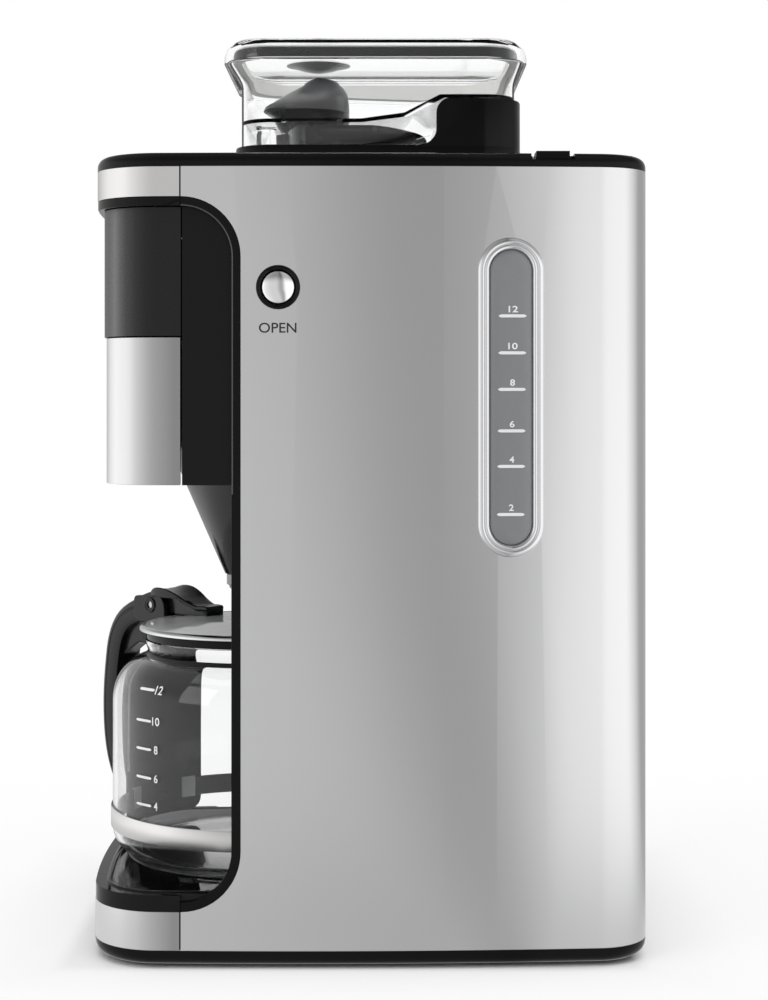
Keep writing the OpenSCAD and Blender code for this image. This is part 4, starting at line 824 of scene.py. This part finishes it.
# ---------- hopper ----------
def hopper():
    """Clear wall with its floor, the dark guide and channel for the beans, and the locking post."""
    (lo, hi), (rim_lo, rim_hi) = HOPPER, HOPPER_RIM

    def ring(d, z, t):
        """The wall's outline drawn in by d, at a share t of the way out to the rim's."""
        a = tuple(p + d + (q - p) * t for p, q in zip(lo, rim_lo))
        b = tuple(p - d + (q - p) * t for p, q in zip(hi, rim_hi))
        return [(x, y, z) for x, y in round_rect(a, b, 16 - d, 14)]

    flare = [(PLINTH_TOP + 0.3, 0), (RIM_Z - 11, 0), (RIM_Z - 9, 0.08), (RIM_Z - 7, 0.24),
             (RIM_Z - 0.5, 0.95), (RIM_Z + 0.5, 1)]
    shell = piece("hopper_wall", *skin([ring(0, z, t) for z, t in flare]), "hopper", CLEAR, ["hopper_body"])
    room = [(PLINTH_TOP - 2, 0)] + flare[1:-1] + [(RIM_Z + 2, 1.02)]
    inside = cutter(*skin([ring(2, z, t) for z, t in room]))
    step_z = BLOCK_TOP + 0.3
    floor = [(-FAR, FLOOR_Z - 2), (BLOCK_Y - 30, FLOOR_Z - 2), (BLOCK_Y - 6, FLOOR_Z + 1),
             (BLOCK_Y + 12, step_z), (FAR, step_z), (FAR, step_z + 2), (BLOCK_Y + 10, step_z + 2),
             (BLOCK_Y - 8, FLOOR_Z + 3), (BLOCK_Y - 30, FLOOR_Z), (-FAR, FLOOR_Z)]
    carve(inside, cutter(*along_x(floor)))
    block = [(BLOCK_Y - 2, 380), (BLOCK_Y - 2, PLINTH_TOP + 3), (BLOCK_Y + 5, PLINTH_TOP + 5),
             (BLOCK_Y + 7, BLOCK_TOP - 6), (BLOCK_Y + 12, step_z), (300, step_z), (300, 380)]
    carve(shell, inside, cutter(*along_x(block)), cutter(*pillar((0, BURR_Y), 19, 380, 440)))

    # guide over the drop, as (height, front, back): a long slope at the front, a steep one behind
    top_z = 428.8
    foot = [(FLOOR_Z, -38, -2.4), (427, -43, -2.4), (top_z, -46.5, -2.4)]
    hill = [(top_z, -46.5, -2.4), (430.2, -48.7, -2.4), (432, -47.8, -2.5), (434.5, -43.4, -2.7),
            (439, -35.4, -3.4), (442.5, -29.2, -5.4), (445, -24.9, -9), (446.6, -22.2, -13),
            (447.5, -20.7, -16.4), (447.8, -19.8, -18.6)]
    for name, rows, mat in (("guide_cone", hill, GUIDE), ("guide_foot", foot, SMOKE)):
        rings = []
        for z, front, back in rows:
            mid, ry = (front + back) / 2, (back - front) / 2
            rings.append([(min(ry, 22) * u, mid + ry * v, z) for u, v in circle(1, 96)])
        piece(name, *skin(rings), "hopper", mat, ["hopper_guide"], 60)

    # dark channel under the floor that leads the beans to the drop, as (height, front, back)
    rings = []
    for z, front, back in ((PLINTH_TOP + 0.5, -35, 6), (PLINTH_TOP + 2, -35.4, 18), (408.5, -35.6, 29),
                           (411, -35.6, 37), (412.6, -35.6, 39), (414, -35.6, 34), (415.2, -35.6, 28),
                           (FLOOR_Z - 2.3, -35.6, 22)):
        outline = arc_points((0, front + 12), 48, 180, 360, 24, 12)
        outline += arc_points((0, back - 12), 48, 0, 180, 36, 12)
        rings.append([(x, y, z) for x, y in outline])
    tray = piece("bean_channel", *skin(rings), "hopper", SMOKE)
    carve(tray, cutter(*pillar((0, BURR_Y), 15.5, 380, 430)))
    hopper_cover()
    post = [(0.01, 0.4), (5.2, 0.4), (5.2, 7.5), (4.6, 8.5), (4.6, 9.9), (5.4, 10.5), (5.4, 11.7),
            (0.01, 11.8)]
    piece("lock_post", *lathe(moved(post, 0, PLINTH_TOP), (40, BURR_Y - 22.5), 48), "hopper", CLEAR)


def hopper_cover():
    """Clear lid, one moulding whose top falls away in a curve to its two ends, and its seal."""
    (low_x, low_y), (high_x, high_y) = HOPPER_RIM
    top, base, end_y = HOPPER_TOP, RIM_Z - 0.4, high_y + 2.2
    mid_y = (low_y + high_y) / 2

    def loop(out, z):
        """The rim's outline moved out, with z lowered towards the two ends."""
        points = []
        for x, y in round_rect((low_x - out, low_y - out), (high_x + out, high_y + out), 20, 24):
            to_end = max(0.0, end_y - mid_y - abs(y - mid_y))
            fall = 0.72 * (1 - math.sqrt(max(0.0, 1 - max(0.0, 1 - to_end / 13) ** 2)))
            points.append((x, y, base + (z - base) * (1 - fall)))
        return points

    # sections as (out, height)
    outline = [(-24, top - 1.7), (-6, top - 1.9), (-2, top - 2.3), (-0.3, top - 3.4), (0.3, top - 5),
               (0.5, RIM_Z + 1.2), (0.7, base), (2.0, base), (2.2, base + 0.6), (2.2, top - 2.8),
               (1.7, top - 1.2), (0.4, top - 0.3), (-2, top), (-8, top), (-24, top)]
    seal = [(-2.4, RIM_Z + 1.6), (-1.0, RIM_Z + 1.8), (-1.0, top - 4.4), (-2.0, top - 4.2), (-5, top - 4.2),
            (-5, RIM_Z + 2.4)]
    lining = [(-5.1, RIM_Z + 1.2), (-1.2, RIM_Z + 1.2), (-1.2, RIM_Z + 1.5), (-5.3, RIM_Z + 2.2),
              (-5.3, top - 4), (-1.6, top - 4), (-1.2, top - 3.4), (-5.8, top - 2.9), (-5.8, RIM_Z + 1.5)]
    piece("hopper_cover", *skin([loop(*row) for row in outline]), "hopper_lid", COVER, ["hopper_lid"])
    piece("lid_seal", *skin([loop(*row) for row in seal], closed=True), "hopper_lid", SATIN, ["lid_gasket"])
    piece("seal_lining", *skin([loop(*row) for row in lining], closed=True), "hopper_lid", WHITE)
    dish = [(0.01, 450.8), (4, 451.2), (9, 452.5), (13.5, 454.2), (17, 455), (17, top - 1.9),
            (0.01, top - 1.9)]
    piece("lid_dish", *lathe(dish, (0, BURR_Y + 3), 72), "hopper_lid", SEAT)


def plinth():
    """Base under the hopper, the tall block at its rear, and the sleeve that the beans drop through."""
    (x0, y0), (x1, y1) = PLINTH

    def rounded(levels):
        return skin([[(x, y, z) for x, y in round_rect((x0 + d, y0 + d), (x1 - d, y1 - d), 20 - d, 14)]
                     for z, d in levels])

    tall = rounded([(CAP_TOP + 0.5, 0.02), (BLOCK_TOP - 1.2, 0.02), (BLOCK_TOP - 0.35, 0.4),
                    (BLOCK_TOP, 1.3)])
    base = rounded([(CAP_TOP, 0), (PLINTH_TOP - 1, 0), (PLINTH_TOP - 0.3, 0.3), (PLINTH_TOP, 1)])
    foot = arc_points((BLOCK_Y, PLINTH_TOP + 8), 8, 270, 360, 10)
    crown = arc_points((BLOCK_Y + 16, BLOCK_TOP - 8), 8, 180, 90, 10)
    curve = [(BLOCK_Y, CAP_TOP)] + foot + crown + [(300, BLOCK_TOP), (300, CAP_TOP)]
    block = piece("plinth_block", *tall, "housing", GLOSS, ["hopper_plinth"])
    carve(block, cutter(*along_x(curve)), how="INTERSECT")
    deck = piece("plinth_base", *base, "housing", GLOSS)
    carve(deck, cutter(*pillar((0, BURR_Y), 25, 380, 420)))
    sleeve = [(21.5, CAP_TOP + 0.1), (24.8, CAP_TOP + 0.1), (24.8, PLINTH_TOP + 1), (21.8, PLINTH_TOP + 1.6),
              (21.8, FLOOR_Z - 2.4), (21.2, FLOOR_Z - 2.4)]
    piece("drop_sleeve", *lathe(sleeve, (0, BURR_Y)), "housing", GUIDE)


def funnel():
    """Basket with its rim and cone, and the seat of the drip valve."""
    slope, rim = 2.29, 299.8
    cone_top = SPOUT_Z + (50 - 16.6) * slope
    profile = [(55.5, rim + 2.4), (55.5, rim), (52, rim), (50, cone_top + 1.5), (49.3, cone_top - 1),
               (16.6, SPOUT_Z + 0.4), (16, SPOUT_Z), (3.4, SPOUT_Z), (3.4, SPOUT_Z + 2),
               (15.2, SPOUT_Z + 2), (48, cone_top + 0.8), (50, rim + 2.4)]
    piece("basket_cone", *lathe(profile, AXIS), "door", FUNNEL, ["filter_basket"])
    seat = [(15.6, 0), (15.6, -5.4), (14.2, -6.4), (14.2, -7.4), (13.4, -8), (12.8, -8), (12.8, 0)]
    piece("drip_seat", *lathe(moved(seat, 0, SPOUT_Z), AXIS, 96), "door", SEAT, ["valve_seat"])


skirt_and_cap()
seams()
trim_beads()
hems()
deck_rim()
gauge()
open_control()
carafe()
hopper()
plinth()
funnel()
# CAD nodes that keep their shape, with the width of their soft edges
for node, width in (("body_shell", 0.25), ("front_band_lower", 0.25), ("front_band_upper", 0.25),
                    ("door_cover", 0.5), ("control_panel", 0.5), ("side_trim_right", 0.25),
                    ("side_trim_left", 0.25), ("base_deck", 1.4), ("head_plate", 0.6),
                    ("head_frame", 0.4), ("door_carrier", 0.4), ("bay_liner", 0.3)):
    edged(node, width)


# ---------- studio ----------
# What gloss and metal reflect, as (compass direction in degrees, level); 0 is straight out of the
# right side, and levels over 1 are brighter than the white background. They were set to
# match how bright the photograph's steel is along its rows.
SURROUND = [
    (-180, 0.42), (-150, 0.6), (-125, 0.95), (-107, 1.2), (-80, 1.3), (-68, 1.28), (-57, 1.1),
    (-46, 0.98), (-36, 0.88), (-26, 0.78), (-16, 0.72), (-9, 0.74), (-6, 0.72), (-2.4, 0.6), (0.9, 0.47),
    (4.3, 0.41), (6, 0.41), (7.7, 0.49), (9.4, 0.62), (11, 0.79), (12.8, 0.96), (14.4, 1.12), (28, 1.28),
    (50, 1.3), (73, 1.3), (95, 0.9), (112, 0.5), (130, 0.45), (150, 0.5), (180, 0.42),
]
PURE_WHITE = (1, 1, 1, 1)


def surround(tree, vector):
    """The surround's tone by the compass direction of a vector, and the vector's height."""
    parts = add(tree, "SeparateXYZ", {"Vector": vector}).outputs
    direction = math_node(tree, "ARCTAN2", parts["Y"], parts["X"])
    return ramp(tree, direction, [(math.radians(a), level) for a, level in SURROUND]), parts["Z"]


def gloss_only(tree, rays):
    """1 for a ray off gloss or metal, and 0 for one that has come through glass."""
    return math_node(tree, "SUBTRACT", rays["Is Glossy Ray"], rays["Is Transmission Ray"], clamp=True)


def floor():
    """Pale floor with the object's shadow. The camera and glass see it fade to white, and gloss sees
    it in the tones of the surround."""
    bpy.ops.mesh.primitive_plane_add(size=14, location=(0, 0, 0))
    obj = bpy.context.object
    obj.name = "floor"
    mat = bpy.data.materials.new("floor_white")
    mat.use_nodes = True
    tree, bsdf = main_shader(mat)
    bsdf.inputs["Base Color"].default_value = (0.93, 0.93, 0.93, 1)
    bsdf.inputs["Roughness"].default_value = 0.8
    bsdf.inputs["Specular IOR Level"].default_value = 0.1
    place = add(tree, "TexCoord").outputs["Object"]
    # distance outside the body's rectangle: no white under it, and more with every step away
    size = add(tree, "VectorMath", {0: place}, operation="ABSOLUTE")
    parts = add(tree, "SeparateXYZ", {"Vector": size.outputs["Vector"]}).outputs
    half_w, half_d = 0.098, 0.138
    gap = math_node(tree, "MAXIMUM", math_node(tree, "SUBTRACT", parts["X"], half_w),
                    math_node(tree, "SUBTRACT", parts["Y"], half_d))
    fade = ramp(tree, gap, [(0, 0.0), (0.008, 0.5), (0.06, 0.8), (0.3, 1.0)])
    rays = add(tree, "LightPath").outputs
    seen = math_node(tree, "MAXIMUM", rays["Is Camera Ray"], rays["Is Transmission Ray"])
    white = add(tree, "Emission", {"Color": PURE_WHITE})
    plain = add(tree, "MixShader", {"Fac": math_node(tree, "MULTIPLY", seen, fade),
                                    1: bsdf.outputs["BSDF"], 2: white.outputs["Emission"]})
    # grey near the object, and the tones of the surround further out
    aside = add(tree, "VectorMath", {0: place, 1: (0, 0.07, 0)}, operation="SUBTRACT")
    tone, _ = surround(tree, aside.outputs["Vector"])
    length = add(tree, "VectorMath", {0: place}, operation="LENGTH")
    near = add(tree, "MapRange", {"From Min": 0.2, "From Max": 0.5, "To Min": 0.25,
                                  "Value": length.outputs["Value"]}, interpolation_type="SMOOTHSTEP")
    blend = add(tree, "Mix", {"A": (0.5, 0.5, 0.5, 1), "B": tone, "Factor": near.outputs["Result"]},
                data_type="RGBA")
    shine = add(tree, "Emission", {"Color": blend.outputs["Result"]})
    last = add(tree, "MixShader", {"Fac": gloss_only(tree, rays), 1: plain.outputs["Shader"],
                                   2: shine.outputs["Emission"]})
    tree.links.new(last.outputs["Shader"], tree.nodes["Material Output"].inputs["Surface"])
    assign(obj, mat)


def world():
    """Soft ambient light, white for the camera and glass, and the surround for gloss and metal."""
    made = bpy.data.worlds.new("studio")
    bpy.context.scene.world = made
    made.use_nodes = True
    tree = made.node_tree
    tree.nodes.clear()
    rays = add(tree, "LightPath").outputs
    seen = math_node(tree, "MAXIMUM", rays["Is Camera Ray"], rays["Is Glossy Ray"])
    seen = math_node(tree, "MAXIMUM", seen, rays["Is Transmission Ray"])
    ambient = add(tree, "Background", {"Color": PURE_WHITE, "Strength": 0.55})
    white = add(tree, "Background", {"Color": PURE_WHITE, "Strength": 1.0})
    sky = add(tree, "TexCoord")
    tone, rise = surround(tree, sky.outputs["Generated"])
    # darker overhead
    high = add(tree, "MapRange", {"From Min": 0.2, "From Max": 0.6, "To Min": 1.0, "To Max": 0.4,
                                  "Value": rise}, interpolation_type="SMOOTHSTEP")
    boxes = add(tree, "Background", {"Color": tone, "Strength": high.outputs["Result"]})
    plain = add(tree, "MixShader", {"Fac": seen, 1: ambient.outputs["Background"],
                                    2: white.outputs["Background"]})
    last = add(tree, "MixShader", {"Fac": gloss_only(tree, rays), 1: plain.outputs["Shader"],
                                   2: boxes.outputs["Background"]})
    add(tree, "OutputWorld", {"Surface": last.outputs["Shader"]})


def softbox(name, at, aim_z, size, power):
    """A soft lamp that points at the object's axis and isn't seen in its gloss."""
    lamp = bpy.data.lights.new(name, "AREA")
    lamp.shape = "RECTANGLE"
    lamp.size, lamp.size_y = size
    lamp.energy = power
    obj = linked(name, lamp)
    obj.location = at
    obj.rotation_euler = (Vector((0, 0, aim_z)) - Vector(at)).to_track_quat("-Z", "Y").to_euler()
    obj.visible_glossy = False


def camera():
    """The photograph's view: square on to the right side, at its distance, height and lens."""
    cam = bpy.data.cameras.new("camera")
    cam.lens = 70.2
    cam.shift_y = -0.104
    obj = linked("camera", cam)
    obj.location = (1.045, 0.0161, 0.2775)
    obj.rotation_euler = (math.pi / 2, 0, math.pi / 2)
    bpy.context.scene.camera = obj


floor()
world()
softbox("top_softbox", (0.3, -0.2, 1.7), 0.2, (1.6, 1.6), 14)
softbox("key_softbox", (1.3, -1.5, 1.1), 0.25, (1.0, 1.2), 12)
softbox("rear_softbox", (-0.4, 1.7, 1.0), 0.25, (1.0, 1.2), 6)
camera()
bpy.context.scene.view_settings.view_transform = "Standard"
